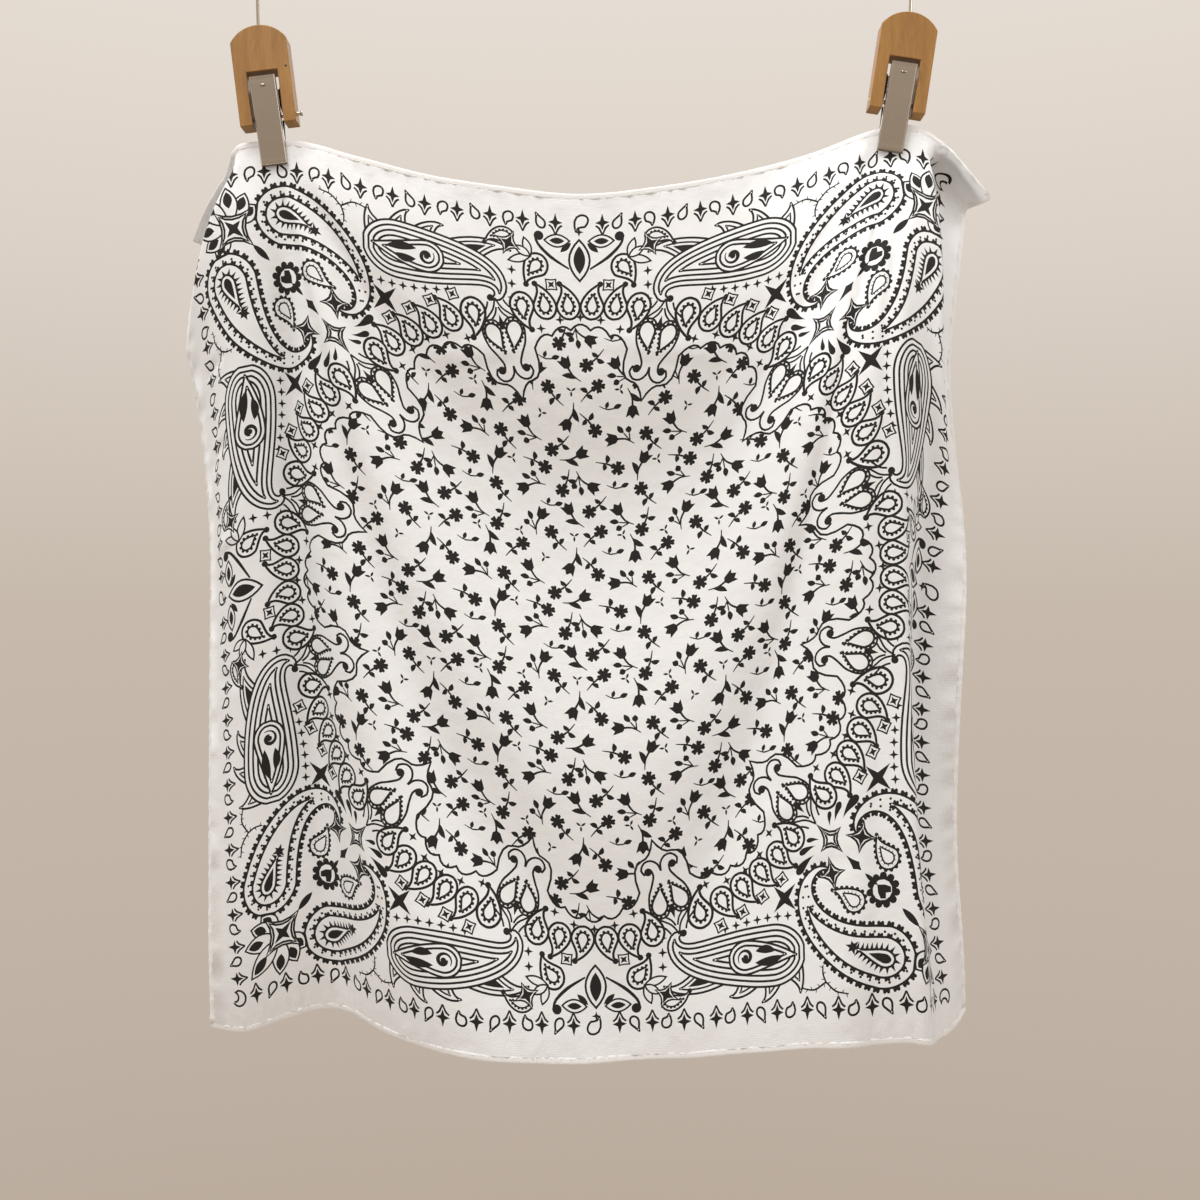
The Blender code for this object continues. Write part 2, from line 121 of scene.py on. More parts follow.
# The top left corner hangs back behind the cloth, round the left clip: the angle from straight down about
# the pivot on the top hem, and the direction in which the cloth runs there.
# angle, across, away, up
PIVOT = -0.210
CREASE = 33.3
FLAP = (
    (33.3, -0.353, 0.00, -0.935),
    (47.0, -0.400, 0.22, -0.890),
    (62.0, -0.280, 0.43, -0.860),
    (76.0, -0.360, 0.50, -0.780),
    (90.0, -0.550, 0.45, -0.700),
)
FLAP_FROM = 0.003
FLAP_FULL = 0.027

# The top right corner drops away from the clip, and lifts the cloth just under it: how far, between which
# two places across the cloth, down to where it has grown to its full height, and to where it has faded out.
CORNER_LIFT = 0.012
CORNER_BESIDE = (0.224, 0.248)
CORNER_STEEP = 0.020
CORNER_FADE = 0.140

# The surface is worked out this far past the cloth's edges, on so many points across and down.
MARGIN = 0.004
ACROSS, DOWN = 571, 282

# The jaws hold the cloth flat here.
HELD_HALF_WIDTH = 0.0115
HELD_DEPTH = 0.0195
HELD_EASE = 0.020


# ---- the cloth as it hangs
def column(table, k):
    return [row[k] for row in table]


def smooth(xs, ys, x):
    """A cubic through a short table; each station's slope comes from its neighbours."""
    xs = np.asarray(xs, float)
    ys = np.asarray(ys, float)
    slope = np.gradient(ys, xs)
    x = np.clip(x, xs[0], xs[-1])
    i = np.clip(np.searchsorted(xs, x, side="right") - 1, 0, len(xs) - 2)
    h = xs[i + 1] - xs[i]
    t = (x - xs[i]) / h
    near = (2 * t**3 - 3 * t**2 + 1) * ys[i] + (t**3 - 2 * t**2 + t) * h * slope[i]
    far = (3 * t**2 - 2 * t**3) * ys[i + 1] + (t**3 - t**2) * h * slope[i + 1]
    return near + far


def ease(x, start, end):
    """0 before the start, 1 after the end, with no corner at either."""
    t = np.clip((x - start) / (end - start), 0, 1)
    return t * t * (3 - 2 * t)


def heading(u, v):
    total = smooth(LEVELS, PANELS[0][5], v)
    t = v / LENGTH
    last = None
    for (name, top, middle, bottom, soft, angles), after in zip(PANELS, PANELS[1:]):
        line = top * (1 - t) * (1 - 2 * t) + middle * 4 * t * (1 - t) + bottom * t * (2 * t - 1)
        if last is not None:
            line = np.maximum(line, last)
        last = line
        turn = smooth(LEVELS, after[5], v) - smooth(LEVELS, angles, v)
        if name in OPEN_AT_HEM:
            turn = turn * ease(v, 0.0, OPEN_TO)
        total = total + turn * ease(u, line - soft, line + soft)
    return np.radians(total)


class Sheet:
    """The hanging cloth's middle surface, on a fine flat grid, read between its points."""

    def __init__(self):
        self.u = np.linspace(LEFT - MARGIN, RIGHT + MARGIN, ACROSS)
        self.v = np.linspace(-MARGIN, LENGTH + MARGIN, DOWN)
        u, v = np.meshgrid(self.u, self.v)
        top = smooth(column(HEMS, 0), column(HEMS, 1), u)
        bottom = smooth(column(HEMS, 0), column(HEMS, 2), u)
        up = top + (bottom - top) * v / LENGTH
        lifted = CORNER_LIFT * ease(u, *CORNER_BESIDE)
        up = up + lifted * ease(v, 0.0, CORNER_STEEP) * (1 - ease(v, CORNER_STEEP, CORNER_FADE))
        run = np.sqrt(np.clip(1 - np.gradient(up, self.u, axis=1) ** 2, 0.2, 1))
        turn = heading(u, np.clip(v, 0, LENGTH))
        down = column(MIDDLE_LINE, 0)
        line_across, line_away = (smooth(down, column(MIDDLE_LINE, k), v) for k in (1, 2))
        across = self.along(np.cos(turn) * run) + line_across
        away = self.along(np.sin(turn) * run) + line_away
        # Swags.
        centre = (HELD_LEFT + HELD_RIGHT) / 2
        half = (HELD_RIGHT - HELD_LEFT) / 2
        width = np.clip(1 - ((u - centre) / half) ** 2, 0.03, 1)
        away = away - width * smooth(column(SWAGS, 0), column(SWAGS, 1), np.clip(v, 0, 1) / width)
        # Flat between the jaws.
        for held in (HELD_LEFT, HELD_RIGHT):
            beside = np.maximum(np.abs(u - held) - HELD_HALF_WIDTH, 0)
            below = np.maximum(v - HELD_DEPTH, 0)
            away = away * ease(np.hypot(beside, below), 0.0, HELD_EASE)
        self.grid = np.stack([across, away, up])
        self.fold_corner(u, v)

    def along(self, rate):
        """The rate summed across the cloth, zero on its middle line."""
        steps = (rate[:, 1:] + rate[:, :-1]) / 2 * np.diff(self.u)
        total = np.concatenate([np.zeros((len(self.v), 1)), np.cumsum(steps, axis=1)], axis=1)
        middle = np.array([np.interp(0.0, self.u, row) for row in total])
        return total - middle[:, None]

    def fold_corner(self, u, v):
        """Past the crease the corner is a cone about the pivot, carried by the crease it hangs from."""
        radius = np.hypot(u - PIVOT, v)
        angle = np.degrees(np.arctan2(PIVOT - u, v))
        behind = (angle > CREASE) & (u < PIVOT)
        crease = self.read(
            PIVOT - radius * math.sin(math.radians(CREASE)),
            radius * math.cos(math.radians(CREASE)),
        )
        angle = np.clip(angle, CREASE, 90)
        runs = np.array([smooth(column(FLAP, 0), column(FLAP, k), angle) for k in (1, 2, 3)])
        runs = runs / np.sqrt((runs**2).sum(axis=0))
        first = np.array(FLAP[0][1:])
        first = first / np.linalg.norm(first)
        cone = crease + radius * (runs - first[:, None, None])
        full = ease(radius, FLAP_FROM, FLAP_FULL)
        self.grid = np.where(behind, self.grid + (cone - self.grid) * full, self.grid)

    def read(self, u, v):
        """Points of the middle surface, axis first."""
        fu = np.clip((u - self.u[0]) / (self.u[1] - self.u[0]), 0, len(self.u) - 1.001)
        fv = np.clip((v - self.v[0]) / (self.v[1] - self.v[0]), 0, len(self.v) - 1.001)
        i = fu.astype(int)
        j = fv.astype(int)
        a = fu - i
        b = fv - j
        upper = self.grid[:, j, i] * (1 - a) + self.grid[:, j, i + 1] * a
        lower = self.grid[:, j + 1, i] * (1 - a) + self.grid[:, j + 1, i + 1] * a
        return upper * (1 - b) + lower * b


def drape(sheet, u, v, lift=0.0):
    """Flat points to hanging points, raised from the middle surface toward the viewer by lift."""
    u = np.asarray(u, float)
    v = np.asarray(v, float)
    reach = 0.0015
    point = sheet.read(u, v)
    right = sheet.read(u + reach, v) - sheet.read(u - reach, v)
    down = sheet.read(u, v + reach) - sheet.read(u, v - reach)
    normal = np.cross(down, right, axis=0)
    normal = normal / np.sqrt((normal**2).sum(axis=0))
    return (point + normal * lift).T + np.array(CLOTH_FROM_HOOKS)


# ---- the print, drawn flat: lengths in millimetres
# A side is drawn once, seen from outside it: x runs along it from its middle, y runs inwards from the row
# of stars that edges the print. Shapes are painted in order, each either inked or bare.
INK, BARE = True, False
ROW = 256.0
LINE = 1.35
FINE = 1.10


def turned(points, degrees):
    c, s = math.cos(math.radians(degrees)), math.sin(math.radians(degrees))
    return np.asarray(points, float) @ np.array([[c, s], [-s, c]])


def filled(outline):
    """One inked shape."""
    return [(outline, INK)]


def put(shapes, at=(0.0, 0.0), turn=0.0, size=1.0, flip=False):
    """A motif's shapes, mirrored left to right if flip, scaled, turned and moved."""
    side = np.array([-size if flip else size, size])
    return [(turned(np.asarray(points, float) * side, turn) + at, ink) for points, ink in shapes]


def polar(degrees, radius):
    """A point of a side, by its angle from the side's middle and its distance from the print's middle."""
    angle = np.radians(degrees)
    return np.stack([-np.sin(angle) * radius, ROW - np.cos(angle) * radius], axis=-1)


def sweep(points, step=2.0):
    """A smooth line through a few points."""
    points = np.asarray(points, float)
    points = np.concatenate([2 * points[:1] - points[1:2], points, 2 * points[-1:] - points[-2:-1]])
    found = []
    for a, b, c, d in zip(points, points[1:], points[2:], points[3:]):
        count = max(2, int(round(np.hypot(*(c - b)) / step)))
        t = np.arange(count)[:, None] / count
        before, after = (c - a) / 2, (d - b) / 2
        near = (2 * t**3 - 3 * t**2 + 1) * b + (t**3 - 2 * t**2 + t) * before
        found.append(near + (3 * t**2 - 2 * t**3) * c + (t**3 - t**2) * after)
    return np.concatenate(found + [points[-2:-1]])


def arc(middle, radius, start, end, step=12.0):
    """Part of a circle, in degrees; radius may be one value or a pair for an oval."""
    angle = np.radians(np.linspace(start, end, max(3, int(abs(end - start) / step) + 1)))
    return np.stack([np.cos(angle), np.sin(angle)], axis=1) * radius + middle


def offset(points, distance, closed):
    """The line moved to its left by distance, one value or one for each point."""
    ahead = np.roll(points, -1, axis=0) - points
    behind = points - np.roll(points, 1, axis=0)
    if not closed:
        ahead[-1] = behind[-1]
        behind[0] = ahead[0]
    ahead = ahead / np.maximum(np.hypot(*ahead.T), 1e-9)[:, None]
    behind = behind / np.maximum(np.hypot(*behind.T), 1e-9)[:, None]
    normal = np.stack([ahead[:, 1] + behind[:, 1], -ahead[:, 0] - behind[:, 0]], axis=1)
    reach = np.maximum((normal**2).sum(axis=1) / 2, 0.45)
    return points + normal / reach[:, None] * np.reshape(distance, (-1, 1))


def line(points, width=LINE, ends=(1.0, 1.0)):
    """An open line with its width; ends scale the width at its start and its end."""
    points = np.asarray(points, float)
    half = np.interp(np.linspace(0, 1, len(points)), (0, 0.5, 1), (ends[0], 1, ends[1])) * width / 2
    half = np.maximum(half, 0.04)
    return filled(np.concatenate([offset(points, half, False), offset(points, -half, False)[::-1]]))


def ring(outline, width=LINE, inside=BARE):
    """A closed line, and what fills it."""
    points = np.asarray(outline, float)
    area = (points[:, 0] * np.roll(points[:, 1], -1) - points[:, 1] * np.roll(points[:, 0], -1)).sum()
    out = width / 2 if area > 0 else -width / 2
    return [(offset(points, out, True), INK), (offset(points, -out, True), inside)]


def dot(at, radius, sides=8):
    return filled(arc((0, 0), radius, 0, 360 - 360 / sides, 360 / sides - 0.01) + at)


def spread(outline, pitch, closed=True, start=0.5):
    """Places at an even pitch along a line: (point, heading in degrees)."""
    points = np.concatenate([outline, outline[:1]]) if closed else np.asarray(outline)
    run = np.concatenate([[0], np.cumsum(np.hypot(*np.diff(points, axis=0).T))])
    count = max(1, int(round(run[-1] / pitch)))
    at = (np.arange(count) + start) * run[-1] / count
    x, y = np.interp(at, run, points[:, 0]), np.interp(at, run, points[:, 1])
    ahead = np.stack([np.interp(at + 0.4, run, points[:, k]) for k in (0, 1)]) - (x, y)
    return [((x[k], y[k]), math.degrees(math.atan2(ahead[1, k], ahead[0, k]))) for k in range(count)]


def winding(points, outline):
    """How many times a closed outline runs round each point."""
    x, y = points.T
    ahead = np.roll(outline, -1, axis=0)
    total = np.zeros(len(points), int)
    for start in range(0, len(outline), 40):
        ax, ay = outline[start : start + 40].T[:, :, None]
        bx, by = ahead[start : start + 40].T[:, :, None]
        near = np.flatnonzero((y >= min(ay.min(), by.min())) & (y <= max(ay.max(), by.max())))
        nx, ny = x[near], y[near]
        side = (bx - ax) * (ny - ay) - (nx - ax) * (by - ay)
        total[near] += ((ay <= ny) & (by > ny) & (side > 0)).sum(axis=0)
        total[near] -= ((ay > ny) & (by <= ny) & (side < 0)).sum(axis=0)
    return total


def bowed(*tips, pull=0.3):
    """A star: each side is one soft curve from tip to tip; pull is how near the middle it comes."""
    tips = np.asarray(tips, float)
    found = []
    for a, b in zip(tips, np.roll(tips, -1, axis=0)):
        middle = (a + b) / 2 * pull
        for t in (0.0, 0.25, 0.5, 0.75):
            found.append((1 - t) ** 2 * a + 2 * t * (1 - t) * middle + t**2 * b)
    return np.array(found)


def star(up, side, down, waist=0.24):
    """A thin four-pointed star; waist is how wide its middle is, as a share of its arms."""
    tips = np.array(((0, -up), (side, 0), (0, down), (-side, 0)), float)
    mean = (up + side + down) / 3 * waist
    waists = np.array(((1, -1), (1, 1), (-1, 1), (-1, -1))) * mean * 0.707
    return np.stack([tips, waists], axis=1).reshape(-1, 2)


def frame_star(up, side, down, pull=0.3):
    return bowed((0, -up), (side, 0), (0, down), (-side, 0), pull=pull)


def lens(start, end, width, bow=0.0):
    """A leaf between two points; bow moves its middle aside."""
    start, end = np.asarray(start, float), np.asarray(end, float)
    way = end - start
    reach = np.hypot(*way)
    across = np.array([way[1], -way[0]]) / reach
    t = np.linspace(0, 1, 4 if reach < 5 else 6 if reach < 12 else 9)[:, None]
    spine = start + way * t + across * bow * 4 * t * (1 - t)
    half = across * width / 2 * np.sin(math.pi * t) ** 0.85
    return np.concatenate([(spine + half)[:-1], (spine - half)[:0:-1]])


def drop(length, width, bend=0.0, hook=0.0, head=0.36, inset=0.0, full=0.5, step=1.5, late=5, swell=0.0):
    """A paisley from the middle of its round head to its tail along +x.

    bend turns the whole of it, hook only its tail, later if late is high; full or swell widens its taper.
    """
    fine = np.linspace(0, 1, 160)
    turn = np.radians(bend * fine**1.5 + hook * fine**late)
    spine = np.cumsum(np.stack([np.cos(turn), np.sin(turn)], axis=1), axis=0) * length / 160
    radius = width / 2
    across = np.clip((fine - head) / (1 - head), 0, 1)
    half = radius * (full * (0.5 + 0.5 * np.cos(math.pi * across)) + (1 - full) * (1 - across))
    if swell:
        half = radius * (1 - across**swell)
    short = inset / length
    cap = (radius - inset) * np.sqrt(np.clip(1 - ((head - fine) / max(head - short, 1e-6)) ** 2, 0, None))
    half = np.where(fine < head, cap, half - inset)
    keep = np.flatnonzero((fine >= short) & (half > 0.02))
    # Closer together at the head, where it turns.
    share = np.linspace(0, 1, max(8, int(length / step))) ** 1.5
    chosen = keep[np.unique(np.round(share * (len(keep) - 1)).astype(int))]
    centre = spine[chosen] - (head * length, 0)
    normal = np.stack([np.sin(turn[chosen]), -np.cos(turn[chosen])], axis=1) * half[chosen, None]
    return np.concatenate([centre + normal, (centre - normal)[::-1]])


def drop_tip(**shape):
    outline = drop(**shape)
    return (outline[len(outline) // 2 - 1] + outline[len(outline) // 2]) / 2


def aim(shapes, tip, head, tail, flip=False):
    """Puts a motif so that its origin is at head and its tip at tail."""
    if flip:
        shapes = [(points * (1, -1), ink) for points, ink in shapes]
        tip = tip * np.array([1, -1])
    way = np.asarray(tail, float) - head
    turn = math.atan2(way[1], way[0]) - math.atan2(tip[1], tip[0])
    return put(shapes, head, math.degrees(turn), np.hypot(*way) / np.hypot(*tip))


# ---- small motifs
def calyx_star():
    shapes = filled(star(6.0, 4.6, 5.0, 0.36))
    for side in (-1, 1):
        shapes += line(sweep(((side * 4.2, 1.8), (side * 2.0, 3.6), (0.0, 8.0))), LINE, (0.9, 0.8))
    return shapes


def cross(size=3.2):
    return filled(star(size, size, size, 0.36))


def gem():
    """A small square with hollow sides and a star on its diagonals."""
    square = bowed((0, -4.6), (4.6, 0), (0, 4.6), (-4.6, 0), pull=0.84)
    return put(ring(square, 0.9) + filled(star(2.9, 2.9, 2.9, 0.42)), turn=45)


def moon():
    """A crescent at each corner of the row."""
    outline = np.concatenate([arc((0, 0), 5.2, -20, 250), arc((-0.4, -3.6), 3.4, 220, 0)])
    return put(ring(outline, LINE), turn=20)


def row_drop(k):
    """The drops between the row's stars, turned one way and the other."""
    if k % 2:
        return put(ring(drop(9.4, 6.4, bend=-75, head=0.42)), at=(0.6, -0.6), turn=150)
    return put(ring(drop(10.2, 5.6, bend=28, hook=-30)), at=(0.8, 0.6), turn=-125)


def twig(joint=(-152.0, 16.0)):
    """A thorny forked twig: three arms from one joint."""
    shapes = []
    for degrees, length, bow in ((205, 16.0, 2.0), (80, 10.0, -1.0), (-10, 17.0, -3.0)):
        middle = turned((length / 2, bow), degrees)
        arm = sweep([np.add(joint, p) for p in ((0, 0), middle, turned((length, 0), degrees))])
        shapes += line(arm, FINE, (1.0, 0.7))
        for k, (at, way) in enumerate(spread(arm, 3.0, closed=False)):
            shapes += line(turned(((0, 0), (1.0, 2.2 if k % 2 else -2.2)), way) + at, 0.7, (1.2, 0.4))
    return shapes


def beaded_drop(length, width, bend, hook=0.0, beads=2.5, bead=0.95, ball=1.7):
    """A paisley with a ball on its tail, round a smaller one with beads on its outside."""
    outer = dict(length=length, width=width, bend=bend, hook=hook)
    shapes = ring(drop(**outer)) + dot(drop_tip(**outer), ball)
    for at, _ in spread(drop(inset=width * 0.215, **outer), beads):
        shapes += dot(at, bead, 5)
    return shapes + ring(drop(inset=width * 0.27, **outer), FINE)


def fan():
    """The chevrons and the star over a heart."""
    shapes = filled(star(5.4, 4.0, 5.4, 0.34))
    for side in (-1, 1):
        shapes += line(sweep(((0, -15.0), (side * 2.8, -8.6), (side * 9.4, -2.6))), FINE)
        shapes += line(sweep(((side * 0.6, -9.6), (side * 2.2, -5.8), (side * 6.2, -1.8))), FINE)
        shapes += line(sweep(((side * 4.6, -13.4), (side * 6.8, -9.2), (side * 12.2, -5.2))), FINE)
    return shapes


def heart():
    """Two beaded paisleys under one line that curls into a pair of balls; it points along +y."""
    crown = ((0, -25), (-4, -31), (-10, -31), (-13.5, -25))
    side = sweep(crown + ((-12, -16), (-8, -9), (-5.5, -3.5), (-6, 0.5)))
    curl = sweep(((-10.5, -1.5), (-12, 2.5), (-9, 6.5), (-4.5, 6.5), (-1, 3), (0, -2)))
    whole = np.concatenate([side, curl])
    shapes = [(np.concatenate([whole, whole[::-1][1:-1] * (-1, 1)]), BARE)]
    core = dict(length=20.0, width=10.6, bend=14, head=0.34)
    for flip in (-1, 1):
        shapes += line(side * (flip, 1)) + line(curl * (flip, 1)) + dot((flip * 8.0, 0.0), 2.6, 10)
        beads = []
        for at, _ in spread(drop(**core), 2.6):
            beads += dot(at, 1.0, 5)
        beads += ring(drop(inset=0.7, **core), LINE)
        shapes += aim(beads, drop_tip(**core), (flip * 7.0, -23.0), (flip * 2.2, -9.4), flip < 0)
    return shapes


# ---- the medallion: twelve scalloped lobes, with a pointed crown over the heart between each two
# Angles are in degrees from a lobe's middle, radii from the print's middle.
LOBES = 12
SCALLOPS = 5
SCALLOP_ANGLE = 3.8
SCALLOP_RISE = 3.4
LOBE_RADIUS = 188.0
LOBE_FALL = 0.13
CROWN_STEP = (11.4, 156.5)
CROWN_TIP = 145.5


def lobe_radius(degrees):
    return LOBE_RADIUS - LOBE_FALL * np.asarray(degrees, float) ** 2


def medallion():
    """The medallion's outline, about the print's middle."""
    shoulder = SCALLOPS * SCALLOP_ANGLE / 2
    reach = 180.0 / LOBES
    side = []
    t = np.linspace(0, 1, 6)[:-1]
    for k in range(SCALLOPS):
        degrees = -shoulder + (k + t) * SCALLOP_ANGLE
        side += list(zip(degrees, lobe_radius(degrees) + SCALLOP_RISE * np.sin(math.pi * t) ** 0.8))
    joint = (shoulder, float(lobe_radius(shoulder)))
    crown = [joint]
    for start, pull, end in (
        (joint, (shoulder - 1.2, 158.0), CROWN_STEP),
        (CROWN_STEP, (reach - 1.6, 156.5), (reach, CROWN_TIP)),
    ):
        for step in (0.25, 0.5, 0.75, 1.0):
            shares = ((1 - step) ** 2, 2 * step * (1 - step), step**2)
            crown.append(tuple(sum(w * p[i] for w, p in zip(shares, (start, pull, end))) for i in (0, 1)))
    lobe = [(-d, r) for d, r in crown[:0:-1]] + side + crown[:-1]
    found = [polar(degrees + 2 * reach * k, radius) for k in range(LOBES) for degrees, radius in lobe]
    return np.array(found) - (0, ROW)


# Where things stand round it, for an eighth of the print: degrees from the side's middle.
RING_RADIUS = 203.0
OUTWARD = (2.0, 6.2, 23.8, 28.0, 32.2, 36.4)
INWARD = ((10.6, -1.2), (19.4, 1.8), (40.6, -1.2))
GEMS = (4.8, 22.0, 26.2, 30.4, 34.6)
CROSSES = (0.0, 3.8, 7.6, 22.4, 26.2, 30.0, 33.8, 37.6)
HEARTS = (15.0, 45.0)


def ring_of_paisleys():
    core = dict(length=21.0, width=12.8, bend=34, hook=30)
    paisley, tip = beaded_drop(**core), drop_tip(**core)
    shapes = []
    for degrees in OUTWARD:
        tail = polar(degrees + 1.4, RING_RADIUS + 14)
        shapes += aim(paisley, tip, polar(degrees, RING_RADIUS), tail, True)
    for degrees, lean in INWARD:
        tail = polar(degrees + lean, RING_RADIUS - 15)
        shapes += aim(paisley, tip, polar(degrees, RING_RADIUS), tail, lean < 0)
    for degrees in GEMS:
        shapes += put(gem(), polar(degrees, 216.5), -degrees)
    for degrees in CROSSES:
        from_lobe = (degrees + 15) % 30 - 15
        shapes += put(cross(), polar(degrees, lobe_radius(from_lobe) + 8.0), -degrees)
    return shapes


def on_spoke(shapes, degrees, radius, size=1.0):
    """Puts a motif drawn with +y toward the print's middle on a spoke."""
    return put(shapes, polar(degrees, radius), -degrees, size)


def heart_and_fan(degrees):
    return on_spoke(fan(), degrees, 193.0, 1.1) + on_spoke(heart(), degrees, 164.5)


# ---- the great scroll of each side: a wave in nested lines, with a crest of flames and an almond eye
SCROLL = dict(length=104.0, width=36.0, bend=6.0, hook=205.0, head=0.22, swell=1.9, late=9)
SCROLL_AT = (-116.0, 33.8)
# The flames along its outer side: foot, heading, length, width, and how far the tip turns.
FLAMES = (
    ((-129.0, 27.0), -128, 23.0, 15.0, 26.0),
    ((-77.0, 29.0), -36, 46.0, 21.0, 34.0),
    ((-100.0, 22.0), -64, 23.0, 15.0, 40.0),
    ((-116.0, 21.5), -86, 22.0, 14.0, 34.0),
)


def flame(length, width, turn):
    """A curved tip in nested lines round an inked core; it rises along +x."""
    shape = dict(length=length, width=width, bend=turn, hook=turn, head=0.22, full=0.2)
    return ring(drop(**shape)) + ring(drop(inset=2.9, **shape), FINE) + filled(drop(inset=4.7, **shape))


def eye():
    """An almond in two lines: a curl in its round end, and inked blades toward its point."""
    almond = dict(length=47.0, width=20.0, bend=14.0, head=0.24, swell=1.4)
    shapes = ring(drop(**almond)) + ring(drop(inset=2.8, **almond))
    turns = np.radians(np.arange(150, 560, 20))
    curl = np.stack([np.cos(turns), np.sin(turns)], axis=1) * np.linspace(5.2, 1.6, len(turns))[:, None]
    shapes += line(curl, 2.4, (0.2, 0.9)) + dot((0.0, 0.0), 1.8, 9)
    shapes += filled(lens((6.0, 4.2), (26.0, 3.4), 5.4, bow=-1.0))
    return shapes + filled(lens((7.0, -2.6), (21.0, -0.4), 5.0, bow=1.2))


def scroll():
    shapes = []
    for foot, heading, *flame_shape in FLAMES:
        shapes += put(flame(*flame_shape), foot, heading)
    wave = []
    for inset in (0.0, 3.3, 6.6, 9.9, 13.2):
        wave += ring(drop(inset=inset, **SCROLL))
    wave += dot(drop_tip(**SCROLL), 2.3, 10)
    shapes += put(wave, SCROLL_AT)
    return shapes + put(eye(), (-97.0, 34.4), 175)


# ---- the middle of each side, its left half; the leaf on the middle line is whole
def side_middle():
    shapes = ring(lens((0, 10.6), (0, 37.0), 13.0)) + filled(lens((0, 14.4), (0, 32.6), 7.4))
    shapes += put(cross(3.0), (0, 5.6))
    return shapes + put(ring(drop(12.0, 8.0, bend=-75, head=0.42)), (1.0, -1.6), 165)


def leaf(start, end, width, core=False):
    shapes = ring(lens(start, end, width), FINE)
    if core:
        start, end = np.asarray(start), np.asarray(end)
        shapes += filled(lens(start + (end - start) * 0.2, end - (end - start) * 0.2, width * 0.52))
    return shapes


def side_spray():
    shapes = leaf((-22.0, 12.0), (-6.0, 11.5), 8.0, True)
    shapes += filled(lens((-12.0, 19.0), (-5.0, 12.5), 3.6))
    # The curled arm: a long stroke that ends in a ball.
    shapes += line(sweep(((-28.0, 9.0), (-26.0, 15.0), (-18.0, 22.5), (-6.5, 29.5))), 2.2, (0.7, 0.5))
    shapes += dot((-25.5, 9.5), 3.1, 12)
    # A paisley on a sprig of three leaves.
    core = dict(length=20, width=13.0, bend=24, hook=30)
    shapes += aim(beaded_drop(**core), drop_tip(**core), (-28.0, 29.0), (-34.0, 42.0), True)
    for end in ((-35.0, 12.0), (-45.0, 28.0), (-41.0, 18.0)):
        shapes += leaf((-31.0, 23.5), end, 5.0)
    # A beaded half moon under a framed star.
    moon_core = dict(length=22, width=10.0, bend=-70)
    shapes += aim(beaded_drop(**moon_core), drop_tip(**moon_core), (-49.0, 11.0), (-60.0, 18.5), False)
    frame = ring(frame_star(8.6, 8.0, 8.0), FINE) + filled(star(5.8, 5.0, 5.4, 0.42))
    return shapes + put(frame, (-45.0, 17.0), 24)


# ---- the corners
BIG_PAISLEY = dict(length=116.0, width=36.0, bend=70.0, hook=150.0, head=0.17, full=0.30)
BIG_AT = (-189.0, 27.0)
BIG_TURN = 8.0


def lump(width, height):
    """A two-humped blob on a line, pointing to -y."""
    side = ((-1.0, 0.45), (-0.85, -0.85), (-0.4, -1.0))
    whole = np.array(side + ((0.0, -0.7),) + tuple((-x, y) for x, y in reversed(side)))
    return filled(whole * (width / 2, height))


def big_paisley():
    outer = drop(step=1.6, **BIG_PAISLEY)
    shapes = []
    for at, way in spread(outer, 5.9):
        shapes += put(lump(4.8, 3.0), at, way)
    shapes += ring(outer)
    for at, _ in spread(drop(inset=3.3, **BIG_PAISLEY), 6.2):
        shapes += dot(at, 0.9, 5)
    inner = drop(inset=6.4, **BIG_PAISLEY)
    for at, way in spread(inner, 5.6):
        shapes += put(lump(3.9, 2.5), at, way)
    shapes += ring(inner)
    # The core, with its lashes and its burst.
    core = dict(length=26.0, width=10.0, bend=8, head=0.26)
    shape = drop(**core)
    spine = []
    for at, way in spread(shape, 3.1):
        spine += put(filled(np.array(((-1.3, 0.4), (0.5, -4.2), (1.3, 0.4)))), at, way)
    spine += ring(shape, LINE) + filled(drop(inset=2.2, **core))
    burst = np.concatenate([turned(((4.8 - k % 2, 0.0), (1.8, 1.1)), 60 * k) for k in range(6)])
    spine += put(filled(burst), (21.0, 1.6))
    return put(shapes + put(spine, (0.0, 0.0), 12), BIG_AT, BIG_TURN)


SMALL_PAISLEY = {"length": 20.5, "width": 12.0, "bend": -24, "hook": -30, "head": 0.30}


def small_paisley():
    """A paisley with knobs outside its line and lashes inside."""
    shape = drop(**SMALL_PAISLEY)
    shapes = []
    for at, way in spread(shape, 3.0):
        shapes += put(dot((0, -0.5), 1.2, 6), at, way)
    shapes += ring(shape, FINE)
    inner = drop(inset=2.8, **SMALL_PAISLEY)
    for at, way in spread(inner, 2.0):
        shapes += put(filled(np.array(((-0.5, 0.3), (0.0, -1.6), (0.5, 0.3)))), at, way)
    return shapes + ring(inner, 0.9)


def lotus():
    """A framed four-pointed star over a fan of seven petals; +y is toward the print's middle."""
    shapes = []
    for degrees, length in ((92, 19.5), (66, 22.5), (36, 26.5), (0, 33.0)):
        for side in (-1, 1) if degrees else (1,):
            petal = leaf((0.0, -4.0), (0.0, -length), 11.2)
            petal += filled(lens((0.0, -length * 0.50), (0.0, -length * 0.91), 6.0))
            shapes += put(petal, turn=side * degrees)
    for size in (1.2, 0.92):
        shapes += ring(bowed((0, -14.5), (12.6, 0), (0, 13.4), (-12.6, 0), pull=0.34) * size, LINE)
    return shapes + filled(star(8.2, 6.4, 8.8, 0.34))


